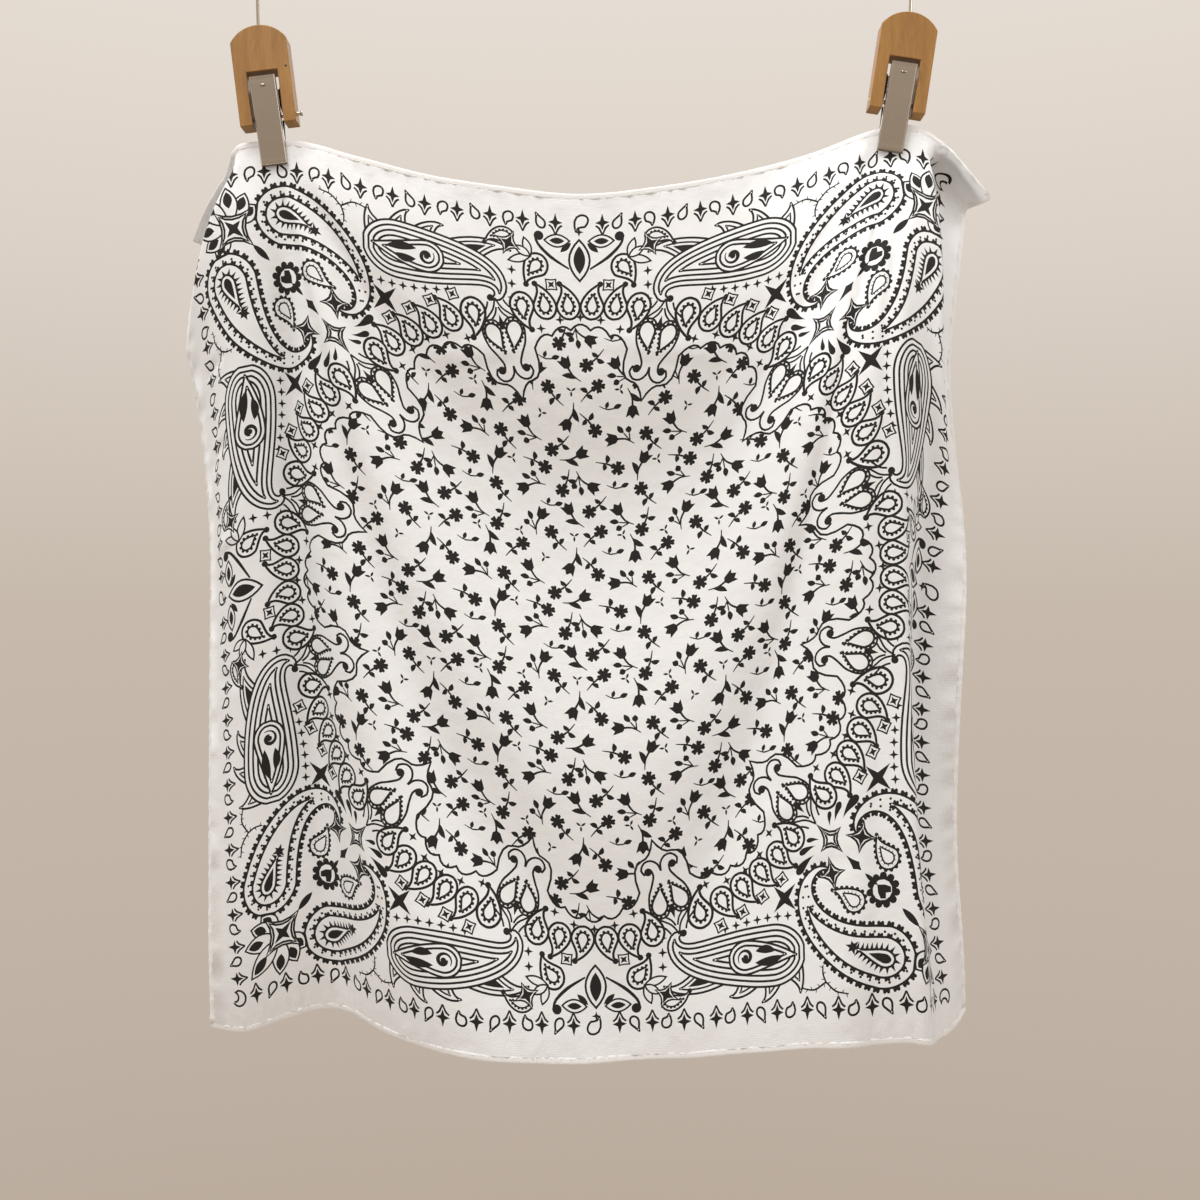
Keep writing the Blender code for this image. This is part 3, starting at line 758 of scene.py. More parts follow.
def heart_flower():
    """A scalloped ring about a heart on a short stem."""
    shapes = []
    for k in range(11):
        shapes += dot(turned((0, -8.3), k * 360 / 11), 2.3, 8)
    shapes += [(arc((0, 0), 8.2, 0, 342, 18), INK), (arc((0.2, 0.4), 6.0, 0, 330, 30), BARE)]
    for side in (-1, 1):
        half = ((0, -2.4), (side * 2.4, -4.6), (side * 4.6, -2.2), (side * 3.0, 1.4), (0, 4.8))
        shapes += filled(np.array(half))
    return shapes + filled(lens((0, 4.0), (0, 15.5), 2.8))


# What stands on the diagonal, from the corner inwards: one place each 16 mm, from both rows alike.
DIAGONAL_FIRST = 34.0
DIAGONAL_PITCH = 16.0


def diagonal():
    leaf_blade = filled(lens((0, -7), (0, 7), 4.2))
    blade = filled(bowed((0, -4.5), (2.8, 0), (0, 9.0), (-2.8, 0), pull=0.75))
    frame = frame_star(11.0, 9.4, 13.6, 0.12)
    framed = ring(frame) + ring(frame * 0.56)
    shapes = put(moon(), (-ROW, 0.0))
    for k, motif in enumerate((lotus(), leaf_blade, heart_flower(), blade, framed)):
        at = DIAGONAL_FIRST + DIAGONAL_PITCH * k
        shapes += on_spoke(motif, 45, (ROW - at) * math.sqrt(2))
    return shapes


# ---- the small flowers that fill the medallion
def blossom():
    petal = ((0, 0.50), (11, 0.90), (24, 1.0), (36, 0.86), (48, 1.0), (61, 0.90))
    return filled(np.array([turned((0, -4.6 * r), a + 72 * k) for k in range(5) for a, r in petal]))


def flower_sprig():
    """A blossom on a bent stem with two leaves; the stem runs along +y."""
    shapes = line(sweep(((0, 2), (0.6, 7.5), (2.8, 13.8)), step=3.0), 1.1, (1.2, 0.5)) + blossom()
    shapes += filled(lens((0.5, 7.4), (-4.4, 10.2), 3.0, bow=-0.7))
    return shapes + filled(lens((1.0, 9.2), (5.2, 6.8), 2.9, bow=0.7))


def tulip(stem):
    half = ((0, -5.0), (1.0, -3.8), (1.9, -2.6), (4.2, -3.8), (3.4, -1.0), (2.4, 2.2), (0, 3.6))
    cup = np.array(list(half) + [(-x, y) for x, y in half[-2:0:-1]])
    return line(sweep(stem, step=3.0), 1.1, (1.2, 0.5)) + filled(cup)


def tulip_leaf():
    """A tulip with one long leaf."""
    return tulip(((0, 3), (0.2, 8), (2.8, 13.6))) + filled(lens((1.2, 10.8), (-5.8, 5.0), 3.4, bow=-0.9))


def tulip_buds():
    """A tulip with two budded shoots."""
    shapes = tulip(((0, 3), (0.4, 8), (3.6, 13.2)))
    root = np.array((1.6, 10.6))
    for end, width in (((-8.0, 3.0), 3.3), ((-7.4, 9.8), 4.0)):
        joint = root * 0.5 + np.array(end) * 0.5
        shapes += line((root, joint), 0.9, (0.9, 0.9)) + filled(lens(joint, end, width, bow=-0.3))
    return shapes


def shoot():
    """A bare twig with two leaves."""
    shapes = line(sweep(((-1.0, -5.6), (-0.4, 0), (3.2, 4.6)), step=3.0), 0.9, (0.5, 0.9))
    shapes += filled(lens((-0.6, -1.2), (4.0, -2.2), 2.5))
    return shapes + filled(lens((1.8, 2.6), (5.8, 6.2), 3.0))


def speck():
    return [(lens((0, 0), turned((0, 3.6), turn), 1.4), INK) for turn in (0, 125, 235)]


# One repeat of the small flowers, charted on twelve by twelve squares: F a blossom, L a tulip with
# a leaf, B a tulip with buds, J and D the same two mirrored, S a shoot, s a speck. The number is the hour
# on a clock face that its stem points to; > moves it half a square to the right and v half a square down.
REPEAT = 93.0
FIRST = (-61.0, -91.0)
FLOWER = 1.05
# Past this distance from the print's middle no flower shows; within the other all of them do.
FLOWERS_OUT = 208.0
FLOWERS_IN = 130.0
CHART = """
 .     .     .     D2    .     .     .     .     .     .     S4    .
 F5>   .     .     .     S4>v  .     .     .     F2>v  .     .     .
 .     .     .     .     .     .     L5>v  .     .     .     B5>v  .
 F1>   .     .     B7>   .     .     .     .     .     .     .     .
 .     .     s5    .     .     F5v   s6>   .     F8    .     s5>   .
 .     F8>v  .     .     .     .     .     .     .     S4>v  .     L12>
 .     .     .     .     s7    .     L1>   .     F11v  .     .     .
 .     .     .     B5v   .     .     .     .     .     .     .     .
 .     F5v   .     .     .     F2>v  .     .     .     .     D3>   .
 .     .     .     .     .     .     J8>v  .     .     .     .     .
 L7v   s5>   .     F10>  .     .     .     .     .     F10>  .     .
 .     .     .     .     .     .     F1v   D10>v .     .     .     .
"""
# Each motif, how far down its stem its middle lies, and whether it is mirrored.
MOTIFS = {
    "F": (flower_sprig, 6.0, False),
    "L": (tulip_leaf, 6.0, False),
    "J": (tulip_leaf, 6.0, True),
    "B": (tulip_buds, 5.0, False),
    "D": (tulip_buds, 5.0, True),
    "S": (shoot, 0.0, False),
    "s": (speck, 0.0, False),
}


def small_flowers(edge):
    """The repeat, as far as it shows inside the medallion's outline."""
    chart = [row.split() for row in CHART.strip().splitlines()]
    square = REPEAT / len(chart)
    shapes = []
    # Two repeats before the first and four from it on reach past the medallion on every side.
    for down in range(-2 * len(chart), 4 * len(chart)):
        for across in range(-2 * len(chart), 4 * len(chart)):
            mark = chart[down % len(chart)][across % len(chart)]
            half = np.array((mark.count(">"), mark.count("v"))) / 2
            at = np.array(FIRST) + (np.array((across, down)) + 0.5 + half) * square
            if mark == "." or np.hypot(*at) > FLOWERS_OUT:
                continue
            # Hour 6 points down, along +y; each hour is 30 degrees clockwise.
            build, middle, mirrored = MOTIFS[mark[0]]
            turn = (int(mark[1:].strip(">v")) - 6) * 30
            motif = put(build(), at - turned((0, middle * FLOWER), turn), turn, FLOWER, mirrored)
            if np.hypot(*at) < FLOWERS_IN or any(winding(points, edge).any() for points, _ in motif):
                shapes += motif
    return shapes


# ---- the whole print, about its middle: x to the right, y down
STARS = 12
STAR_FIRST = 14.8
STAR_PITCH = 20.75


def eighth():
    """What stands between a side's middle line and the diagonal on its left, on neither of them."""
    shapes = []
    for k in range(STARS):
        shapes += put(calyx_star(), (-STAR_FIRST - STAR_PITCH * k, 0.0))
        if k < STARS - 1:
            shapes += put(row_drop(k), (-STAR_FIRST - STAR_PITCH * (k + 0.5), 0.4))
    shapes += twig() + scroll() + side_spray() + big_paisley()
    # The framed star on the big paisley's tail.
    frame = ring(frame_star(10.0, 9.0, 10.0, 0.16)) + filled(star(6.2, 5.2, 6.2, 0.4))
    shapes += put(frame, (-158.0, 78.0), -12)
    shapes += aim(small_paisley(), drop_tip(**SMALL_PAISLEY), (-172.0, 62.0), (-158.0, 68.0))
    shapes += put(filled(star(11.0, 11.0, 11.0, 0.28)), (-125.0, 66.5), 45)
    # Three drops of falling size, fanned beside the diagonal's framed star.
    core = dict(length=20.0, width=6.4, bend=26, head=0.24)
    for k, reach in enumerate((27.0, 20.0, 14.5)):
        tail, head = turned(((0.54 * reach, 0.0), (reach, 0.0)), 19 * k - 36) + (-158.0, 98.0)
        shapes += aim(filled(drop(**core)), drop_tip(**core), head, tail)
    # A line of crosses along the scroll's back.
    for k in range(7):
        shapes += put(cross(3.0), (-127.0 + 7.2 * k, 56.4 - 0.24 * abs(k - 1.5) ** 1.8))
    for k in range(3):
        shapes += put(cross(), (-43.0, 34.0 + 9.0 * k))
    return shapes + ring_of_paisleys() + heart_and_fan(HEARTS[0])


def whole_print():
    """The small flowers, the medallion's outline, and the ring and border that are painted over them."""
    edge = medallion()
    once = diagonal() + heart_and_fan(HEARTS[1]) + side_middle()
    many = eighth()
    border = []
    for quarter in range(4):
        for flip in (1, -1):
            border += [(turned(points * (flip, 1) - (0, ROW), 90 * quarter), ink) for points, ink in many]
        border += [(turned(points - (0, ROW), 90 * quarter), ink) for points, ink in once]
    return small_flowers(edge), edge, border


# ---- the cloth, cut along the print
PRINT_MIDDLE = 0.275
TUCK = 0.0034
SHELL = 0.00025
# How far a printed outline may be from its own curve, in millimetres.
SLACK = 0.08
# The medallion's outline lies between these two distances from the print's middle, in millimetres.
EDGE_NEAR = 138.0
EDGE_FAR = 198.0
# A grid between the outlines, in millimetres: its columns are closer at the sides, where the folds are
# tighter.
MIDDLE_HALF = 168.0
MIDDLE_COLUMNS = 7.0
SIDE_COLUMNS = 4.0
ROWS = 6.5

# Soft creases: a line across the flat cloth, how far it reaches to each side, and how high it stands toward
# the viewer (minus is a trough).
# u from, v from, u to, v to, half width, height
CREASES = (
    (0.186, 0.022, 0.112, 0.112, 0.0090, -0.0016),
    (0.176, 0.034, 0.070, 0.180, 0.0140, 0.0014),
    (-0.176, 0.026, -0.118, 0.118, 0.0080, -0.0014),
    (-0.180, 0.044, -0.060, 0.200, 0.0160, 0.0013),
    (-0.197, 0.030, -0.186, 0.130, 0.0060, 0.0009),
    (0.204, 0.032, 0.196, 0.120, 0.0060, 0.0008),
    (-0.238, 0.125, -0.262, 0.133, 0.0055, -0.0012),
    (-0.240, 0.176, -0.268, 0.190, 0.0060, -0.0010),
    (-0.232, 0.236, -0.266, 0.246, 0.0070, 0.0010),
    (-0.236, 0.330, -0.270, 0.322, 0.0080, -0.0009),
    (0.010, 0.092, 0.120, 0.120, 0.0120, 0.0008),
    (-0.110, 0.120, -0.010, 0.094, 0.0110, 0.0007),
    (0.096, 0.418, 0.172, 0.402, 0.0110, 0.0010),
    (0.110, 0.452, 0.180, 0.446, 0.0090, -0.0009),
    (-0.160, 0.420, -0.110, 0.520, 0.0120, 0.0011),
    (-0.196, 0.470, -0.180, 0.546, 0.0100, -0.0010),
    (0.040, 0.500, 0.060, 0.552, 0.0100, 0.0008),
    (-0.060, 0.300, -0.030, 0.420, 0.0150, 0.0008),
    (0.130, 0.240, 0.150, 0.360, 0.0120, -0.0009),
    (-0.140, 0.190, -0.120, 0.300, 0.0100, -0.0009),
)

# The stitching draws the cloth beside each hem into small uneven waves: how high, how far in they are
# highest, and how far from there they reach.
PUCKER = 0.00034
PUCKER_IN = 0.006
PUCKER_REACH = 0.012
# Neither creases nor puckers show between the jaws: this far to each side, and down from the hem.
SMOOTH_ASIDE = 0.011
SMOOTH_DOWN = 0.024


def creased(u, v):
    """How far the creases and the hems' puckers raise the cloth toward the viewer."""
    lift = np.zeros(np.shape(u))
    for u0, v0, u1, v1, half, height in CREASES:
        du, dv = u1 - u0, v1 - v0
        length = math.hypot(du, dv)
        along = ((u - u0) * du + (v - v0) * dv) / length**2
        aside = ((u - u0) * dv - (v - v0) * du) / length
        across = np.clip(1 - (aside / half) ** 2, 0, None) ** 2
        lift = lift + height * across * ease(along, -0.1, 0.3) * (1 - ease(along, 0.55, 1.1))
    for inward, run in ((v, u), (LENGTH - v, u + 0.3), (u - LEFT, v + 0.7), (RIGHT - u, v + 1.1)):
        wave = np.sin(run * 610 + 2.1 * np.sin(run * 83)) + 0.6 * np.sin(run * 977 + 1.3)
        lift = lift + PUCKER * wave * (1 - ease(np.abs(inward - PUCKER_IN), 0.0, PUCKER_REACH))
    held = np.minimum(np.abs(u - HELD_LEFT), np.abs(u - HELD_RIGHT)) < SMOOTH_ASIDE
    return np.where(held & (v < SMOOTH_DOWN), 0.0, lift)


def hung(sheet, u, v, lift):
    """Flat points to hanging points, creases included."""
    u = np.asarray(u, float)
    v = np.asarray(v, float)
    return drape(sheet, u, v, creased(u, v) + lift)


def facing(sheet, u, v):
    """The cloth's normals toward the viewer."""
    step = 0.0008
    right = hung(sheet, u + step, v, 0.0) - hung(sheet, u - step, v, 0.0)
    down = hung(sheet, u, v + step, 0.0) - hung(sheet, u, v - step, 0.0)
    normal = np.cross(down, right)
    return normal / np.maximum(np.linalg.norm(normal, axis=1), 1e-12)[:, None]


def paint(at, shapes, inked):
    """Paints shapes in order over points sorted by x."""
    for outline, ink in shapes:
        first, last = np.searchsorted(at[:, 0], (outline[:, 0].min(), outline[:, 0].max()))
        near = np.arange(first, last)
        near = near[(at[near, 1] >= outline[:, 1].min()) & (at[near, 1] <= outline[:, 1].max())]
        if len(near):
            inked[near[winding(at[near], outline) != 0]] = ink


def thinned(outline):
    """The outline without every other point that lies nearer than SLACK to the line past it."""
    for _ in range(3):
        behind, ahead = np.roll(outline, 1, axis=0), np.roll(outline, -1, axis=0)
        side, way = ahead - behind, outline - behind
        aside = np.abs(side[:, 0] * way[:, 1] - side[:, 1] * way[:, 0])
        spare = aside < SLACK * np.hypot(*side.T)
        spare[::2] = False
        if len(outline) - spare.sum() < 4:
            break
        outline = outline[~spare]
    return outline


def cut_cloth():
    """The flat cloth in triangles along every printed outline: points (u, v), triangles, inked or not."""
    flowers, edge, border = whole_print()
    flowers, border = ([(thinned(outline), ink) for outline, ink in part] for part in (flowers, border))
    rim = [offset(edge, LINE / 2, True), offset(edge, -LINE / 2, True)]
    low = np.array(((LEFT + TUCK) * 1000, (TUCK - PRINT_MIDDLE) * 1000))
    high = np.array(((RIGHT - TUCK) * 1000, (LENGTH - TUCK - PRINT_MIDDLE) * 1000))
    sheet_edge = np.array([low, (high[0], low[1]), high, (low[0], high[1])])
    outlines = [outline for outline, _ in flowers + border] + rim + [sheet_edge]
    points, edges, count = [], [], 0
    for outline in outlines:
        at = np.arange(len(outline)) + count
        edges.append(np.stack([at, np.roll(at, -1)], axis=1))
        points.append(outline)
        count += len(outline)
    columns = np.concatenate([
        np.arange(low[0], -MIDDLE_HALF, SIDE_COLUMNS),
        np.arange(-MIDDLE_HALF, MIDDLE_HALF, MIDDLE_COLUMNS),
        np.arange(MIDDLE_HALF, high[0], SIDE_COLUMNS),
        [high[0]],
    ])
    rows = np.concatenate([np.arange(low[1], high[1], ROWS), [high[1]]])
    points.append(np.stack(np.meshgrid(columns, rows), axis=-1).reshape(-1, 2))
    points = np.concatenate(points)
    points, _, triangles, *_ = mathutils.geometry.delaunay_2d_cdt(
        [mathutils.Vector(p) for p in points.tolist()], np.concatenate(edges).tolist(), [], 0, 1e-3, False
    )
    points = np.array(points)
    triangles = np.array([t for t in triangles if len(t) == 3])
    centres = points[triangles].mean(axis=1)
    order = np.argsort(centres[:, 0])
    at = centres[order]
    found = np.zeros(len(at), bool)
    paint(at, flowers, found)
    # Only triangles near the medallion's outline need to be tested against it.
    reach = np.hypot(*at.T)
    found[reach > EDGE_FAR] = False
    near = np.flatnonzero((reach > EDGE_NEAR) & (reach <= EDGE_FAR))
    found[near[winding(at[near], edge) == 0]] = False
    found[near[(winding(at[near], rim[0]) != 0) != (winding(at[near], rim[1]) != 0)]] = True
    paint(at, border, found)
    inked = np.zeros(len(at), bool)
    inked[order] = found
    flat = points / 1000 + (0, PRINT_MIDDLE)
    # Counter-clockwise as the viewer sees it: v runs down.
    a, b, c = flat[triangles].transpose(1, 0, 2)
    area = (b[:, 0] - a[:, 0]) * (c[:, 1] - a[:, 1]) - (b[:, 1] - a[:, 1]) * (c[:, 0] - a[:, 0])
    triangles[area > 0] = triangles[area > 0][:, ::-1]
    return flat, triangles, inked


def mesh_object(name, points, faces, materials, smoothed=True):
    mesh = bpy.data.meshes.new(name)
    mesh.from_pydata(np.asarray(points).tolist(), [], [tuple(map(int, f)) for f in faces])
    mesh.update()
    for used in materials:
        mesh.materials.append(used)
    if smoothed:
        mesh.shade_smooth()
    obj = bpy.data.objects.new(name, mesh)
    bpy.context.scene.collection.objects.link(obj)
    return obj


def lay_flat(obj, flat):
    """A texture map of the cloth as it was cut."""
    layer = obj.data.uv_layers.new(name="OFBake")
    index = np.empty(len(obj.data.loops), np.int32)
    obj.data.loops.foreach_get("vertex_index", index)
    spots = np.stack([(flat[:, 0] - LEFT) / (RIGHT - LEFT), 1 - flat[:, 1] / (RIGHT - LEFT)], axis=1)
    layer.data.foreach_set("uv", spots[index].ravel())


def build_shells(sheet):
    """The cloth's face and its back, a hair apart, each with its ink."""
    flat, triangles, inked = cut_cloth()
    normals = facing(sheet, flat[:, 0], flat[:, 1])
    made = []
    for name, side, white, ink, ink_colour in (
        ("cloth_face", 1, "cloth_white", "ink", INK_BLACK),
        ("cloth_back", -1, "cloth_white_back", "ink_through", INK_THROUGH),
    ):
        materials = (cloth_material(white, WHITE), ink_material(ink, ink_colour))
        points = hung(sheet, flat[:, 0], flat[:, 1], side * SHELL)
        faces = triangles if side > 0 else triangles[:, ::-1]
        obj = mesh_object(name, points, faces, materials)
        obj.data.polygons.foreach_set("material_index", inked.astype(np.int32))
        lay_flat(obj, flat)
        obj.data.normals_split_custom_set_from_vertices((normals * side).tolist())
        made.append(obj)
    print("cloth", len(flat), "points", len(triangles), "triangles")
    return made


# ---- hems and stitches
# Across a rolled hem, from its free edge inwards: distance in, and height as a share of half its thickness.
ROLL = (
    (0.0000, 0.00), (0.0002, 0.55), (0.0007, 0.90), (0.0016, 1.00), (0.0028, 0.86), (0.0037, 0.62),
    (0.0040, 0.30), (0.0040, -0.30), (0.0037, -0.62), (0.0028, -0.86), (0.0016, -1.00), (0.0007, -0.90),
    (0.0002, -0.55),
)
ROLL_THICK = 0.0009
ROLL_STEP = 0.0028
STITCH = 0.0022
STITCH_GAP = 0.0009
STITCH_IN = 0.0031
STITCH_WANDER = 0.00012
STITCH_SINK = 0.00012
STITCH_FROM_CORNER = 0.006
THREAD = 0.00016
# Along a stitch: share of its length, and its radius as a share of the thread's.
STITCH_ENDS = ((0.0, 0.3), (0.15, 0.85), (0.5, 1.0), (0.85, 0.85), (1.0, 0.3))

# Each side: name, length, and the flat point at a distance along it and in from its free edge.
SIDES = (
    ("top", RIGHT - LEFT, lambda along, inward: (LEFT + along, inward + 0 * along)),
    ("bottom", RIGHT - LEFT, lambda along, inward: (RIGHT - along, LENGTH - inward + 0 * along)),
    ("left", LENGTH, lambda along, inward: (LEFT + inward + 0 * along, LENGTH - along)),
    ("right", LENGTH, lambda along, inward: (RIGHT - inward + 0 * along, along)),
)


def circle(sides):
    """Even angles round a circle."""
    return np.linspace(0, 2 * math.pi, sides, endpoint=False)


def rings(sections):
    """Faces of a body through equal rings of points, capped at both ends."""
    count = len(sections)
    sides = len(sections[0])
    faces = []
    for i in range(count - 1):
        for k in range(sides):
            n = (k + 1) % sides
            faces.append((i * sides + k, i * sides + n, (i + 1) * sides + n, (i + 1) * sides + k))
    faces.append(tuple(reversed(range(sides))))
    faces.append(tuple((count - 1) * sides + k for k in range(sides)))
    return np.concatenate(sections), faces


def face_out(obj):
    """Turns a body whose faces all point inwards."""
    mesh = obj.data
    mesh.calc_loop_triangles()
    co = np.array([v.co for v in mesh.vertices])
    tri = np.array([t.vertices for t in mesh.loop_triangles])
    if np.einsum("ij,ij->i", co[tri[:, 0]], np.cross(co[tri[:, 1]], co[tri[:, 2]])).sum() < 0:
        mesh.flip_normals()
    return obj


def build_hem(sheet, name, length, place, finish):
    """A narrow roll along one side, slightly uneven, mitred at its ends by the next one."""
    inset = 0.0 if name in ("top", "bottom") else ROLL[6][0]
    along = np.linspace(inset, length - inset, int(length / ROLL_STEP))
    uneven = 1 + 0.10 * np.sin(along * 410 + 1.7 * np.sin(along * 57)) + 0.06 * np.sin(along * 1330)
    lines = []
    for inward, share in ROLL:
        u, v = place(along, inward)
        thick = ROLL_THICK / 2 * share * (uneven if abs(share) > 0.5 else 1)
        lines.append(hung(sheet, u, v, 0.0) + facing(sheet, u, v) * np.reshape(thick, (-1, 1)))
    sections = np.stack(lines, axis=1)
    points, faces = rings(list(sections))
    return face_out(mesh_object("hem_roll_" + name, points, faces, (finish,)))


def build_stitches(sheet, name, length, place, finish):
    """A row of short threads near the roll's inner edge, on both faces."""
    starts = np.arange(STITCH_FROM_CORNER, length - STITCH_FROM_CORNER, STITCH + STITCH_GAP)
    share, radii = np.transpose(STITCH_ENDS)
    points, faces = [], []
    turn = circle(5)
    for side in (1, -1):
        for k, start in enumerate(starts):
            along = start + share * STITCH
            wander = STITCH_IN + STITCH_WANDER * math.sin(k * 2.7)
            u, v = place(along, wander)
            up = facing(sheet, u, v) * side
            proud = ROLL_THICK * 0.40 - STITCH_SINK * np.abs(2 * share - 1) ** 4
            centre = hung(sheet, u, v, 0.0) + up * proud[:, None]
            way = centre[-1] - centre[0]
            way = way / np.linalg.norm(way)
            across = np.cross(way, up[2])
            round_it = np.outer(np.cos(turn), across) + np.outer(np.sin(turn), up[2])
            sections = [c + r * round_it for c, r in zip(centre, THREAD * radii)]
            ring_points, ring_faces = rings(sections)
            base = len(points) * len(ring_points)
            points.append(ring_points)
            faces += [tuple(i + base for i in face) for face in ring_faces]
    return mesh_object("stitches_" + name, np.concatenate(points), faces, (finish,))


# ---- finishes
WHITE = (0.765, 0.780, 0.795)
INK_BLACK = (0.0120, 0.0105, 0.0095)
INK_THROUGH = (0.30, 0.29, 0.275)
HEM_WHITE = (0.77, 0.775, 0.775)
STEEL = (0.44, 0.385, 0.315)
# The front jaw's rolled lip is coloured darker than its plate: painted shade along the plate's foot, which
# also keeps highlights off the roll.
LIP_SHADE = (0.16, 0.135, 0.105)
DARK = (0.035, 0.033, 0.031)
WOOD_LIGHT = (0.350, 0.176, 0.038)
WOOD_DARK = (0.205, 0.090, 0.016)


class Nodes:
    """A short way to lay out a material's nodes."""

    def __init__(self, name):
        self.material = bpy.data.materials.new(name)
        self.material.use_nodes = True
        self.tree = self.material.node_tree
        self.shader = self.tree.nodes["Principled BSDF"]

    def add(self, kind, values=(), **settings):
        node = self.tree.nodes.new(kind)
        for key, value in settings.items():
            setattr(node, key, value)
        for key, value in dict(values).items():
            if isinstance(value, bpy.types.NodeSocket):
                self.tree.links.new(value, node.inputs[key])
            else:
                node.inputs[key].default_value = value
        return node

    def place(self):
        return self.add("ShaderNodeTexCoord").outputs["Object"]

    def noise(self, spot, scale, detail, roughness=0.5):
        values = {"Vector": spot, "Scale": scale, "Detail": detail, "Roughness": roughness}
        return self.add("ShaderNodeTexNoise", values).outputs["Fac"]

    def maths(self, operation, first, second):
        return self.add("ShaderNodeMath", {0: first, 1: second}, operation=operation).outputs[0]

    def rough(self, value, low, high):
        """Spreads the gloss between two roughnesses."""
        spread = self.add("ShaderNodeMapRange", {"Value": value, "To Min": low, "To Max": high})
        self.shade(Roughness=spread.outputs[0])

    def bump(self, height, strength, distance):
        values = {"Height": height, "Strength": strength, "Distance": distance}
        self.shade(Normal=self.add("ShaderNodeBump", values).outputs["Normal"])

    def shade(self, **values):
        for key, value in values.items():
            socket = self.shader.inputs[key.replace("_", " ")]
            if isinstance(value, bpy.types.NodeSocket):
                self.tree.links.new(value, socket)
            else:
                socket.default_value = value


def satin_material(name, colour, smooth_at, rough_at, shine):
    """A fine satin weave with soft wrinkles."""
    nodes = Nodes(name)
    spot = nodes.add("ShaderNodeUVMap", uv_map="OFBake").outputs["UV"]
    thread = {"Vector": spot, "Scale": 170.0, "Distortion": 0.4}
    across = nodes.add("ShaderNodeTexWave", thread, bands_direction="X").outputs["Fac"]
    down = nodes.add("ShaderNodeTexWave", thread, bands_direction="Y").outputs["Fac"]
    threads = nodes.maths("MULTIPLY", nodes.maths("ADD", across, down), 0.06)
    rumple = nodes.noise(spot, 46.0, 3.0, 0.55)
    nodes.rough(rumple, smooth_at, rough_at)
    nodes.bump(nodes.maths("ADD", threads, rumple), 0.42, 0.0016)
    nodes.shade(Base_Color=(*colour, 1), Specular_IOR_Level=shine)
    return nodes


def cloth_material(name, colour):
    nodes = satin_material(name, colour, 0.50, 0.68, 0.40)
    nodes.shade(Sheen_Weight=0.12, Sheen_Roughness=0.4)
    return nodes.material


def ink_material(name, colour):
    return satin_material(name, colour, 0.60, 0.74, 0.25).material


def hem_material(name):
    nodes = Nodes(name)
    rumple = nodes.noise(nodes.place(), 420.0, 2.0)
    nodes.bump(rumple, 0.3, 0.0005)
    nodes.rough(rumple, 0.52, 0.70)
    nodes.shade(Base_Color=(*HEM_WHITE, 1), Specular_IOR_Level=0.25)
    return nodes.material


def wood_material():
    """Pale hardwood with its grain down the block."""
    nodes = Nodes("wood")
    long = nodes.add("ShaderNodeMapping", {"Vector": nodes.place(), "Scale": (1.0, 1.0, 0.10)}).outputs[0]
    fibre = nodes.maths("MULTIPLY", nodes.noise(long, 1500.0, 2.0), 0.45)
    both = nodes.maths("ADD", fibre, nodes.noise(long, 150.0, 4.0))
    share = nodes.add("ShaderNodeMapRange", {"Value": both, "From Min": 0.45, "From Max": 1.0})
    ramp = nodes.add("ShaderNodeValToRGB", {"Fac": share.outputs[0]})
    ramp.color_ramp.elements[0].color = (*WOOD_DARK, 1)
    ramp.color_ramp.elements[1].color = (*WOOD_LIGHT, 1)
    nodes.bump(both, 0.25, 0.0003)
    nodes.rough(both, 0.36, 0.54)
    nodes.shade(Base_Color=ramp.outputs["Color"])
    return nodes.material


def metal_material(name, colour, low, high, metallic=1.0):
    """Rolled metal: faint scuffs in its gloss."""
    nodes = Nodes(name)
    scuff = nodes.noise(nodes.place(), 260.0, 5.0, 0.7)
    nodes.rough(scuff, low, high)
    nodes.bump(scuff, 0.06, 0.0004)
    nodes.shade(Base_Color=(*colour, 1), Metallic=metallic)
    return nodes.material


# ---- the clips
# Each clip in its own frame: side runs across it, away from the viewer, and drop down it from the top of
# its wooden block.
# name, top of the block across and up, lean in degrees, hook across
CLIPS = (
    ("left", -0.2050, -0.0828, 7.0, -0.2060),
    ("right", 0.2048, -0.0747, -8.6, 0.2060),
)
BLOCK_WIDTH = 0.0352
BLOCK_LENGTH = 0.0622
BLOCK_THICK = 0.0130
BLOCK_ARCH = 0.0095
BLOCK_BEVEL = 0.0006
SLOT_WIDTH = 0.0196
SLOT_TOP = 0.0290
PIN_DROP = 0.0560
PIN_RADIUS = 0.0015
PIN_PROUD = {"left": 0.0026, "right": -0.0008}
JAW_WIDTH = 0.0164
JAW_SHEET = 0.0012
JAW_FOLD = 0.0034
FOLD_SHEET = 0.0008
EAR_SHEET = 0.0010
EAR_RADIUS = 0.0030
# The ears' outer faces, from the middle of the clip: the front jaw's lie outside the back jaw's.
FRONT_EARS = 0.0082
BACK_EARS = 0.0066
LIP_RADIUS = 0.00072
STOP_WIDTH = 0.0034
STOP_HEIGHT = 0.0014
STOP_DROP = 0.0058
MARK_SIDE = 0.0154
MARK_DROP = 0.0276
MARK_RADIUS = 0.0008
WIRE_RADIUS = 0.0011
WIRE_IN = 0.0100
HOOK_RADIUS = 0.0111

# Down each jaw: drop, and distance from the cloth to the middle of its plate.
# drop, away
FRONT_JAW = (
    (0.0330, 0.0086),
    (0.0560, 0.0058),
    (0.0866, 0.0017),
)
BACK_JAW = (
    (0.0360, 0.0080),
    (0.0450, 0.0078),
    (0.0570, 0.0070),
    (0.0665, 0.0034),
    (0.0765, 0.0020),
    (0.0866, 0.0016),
)


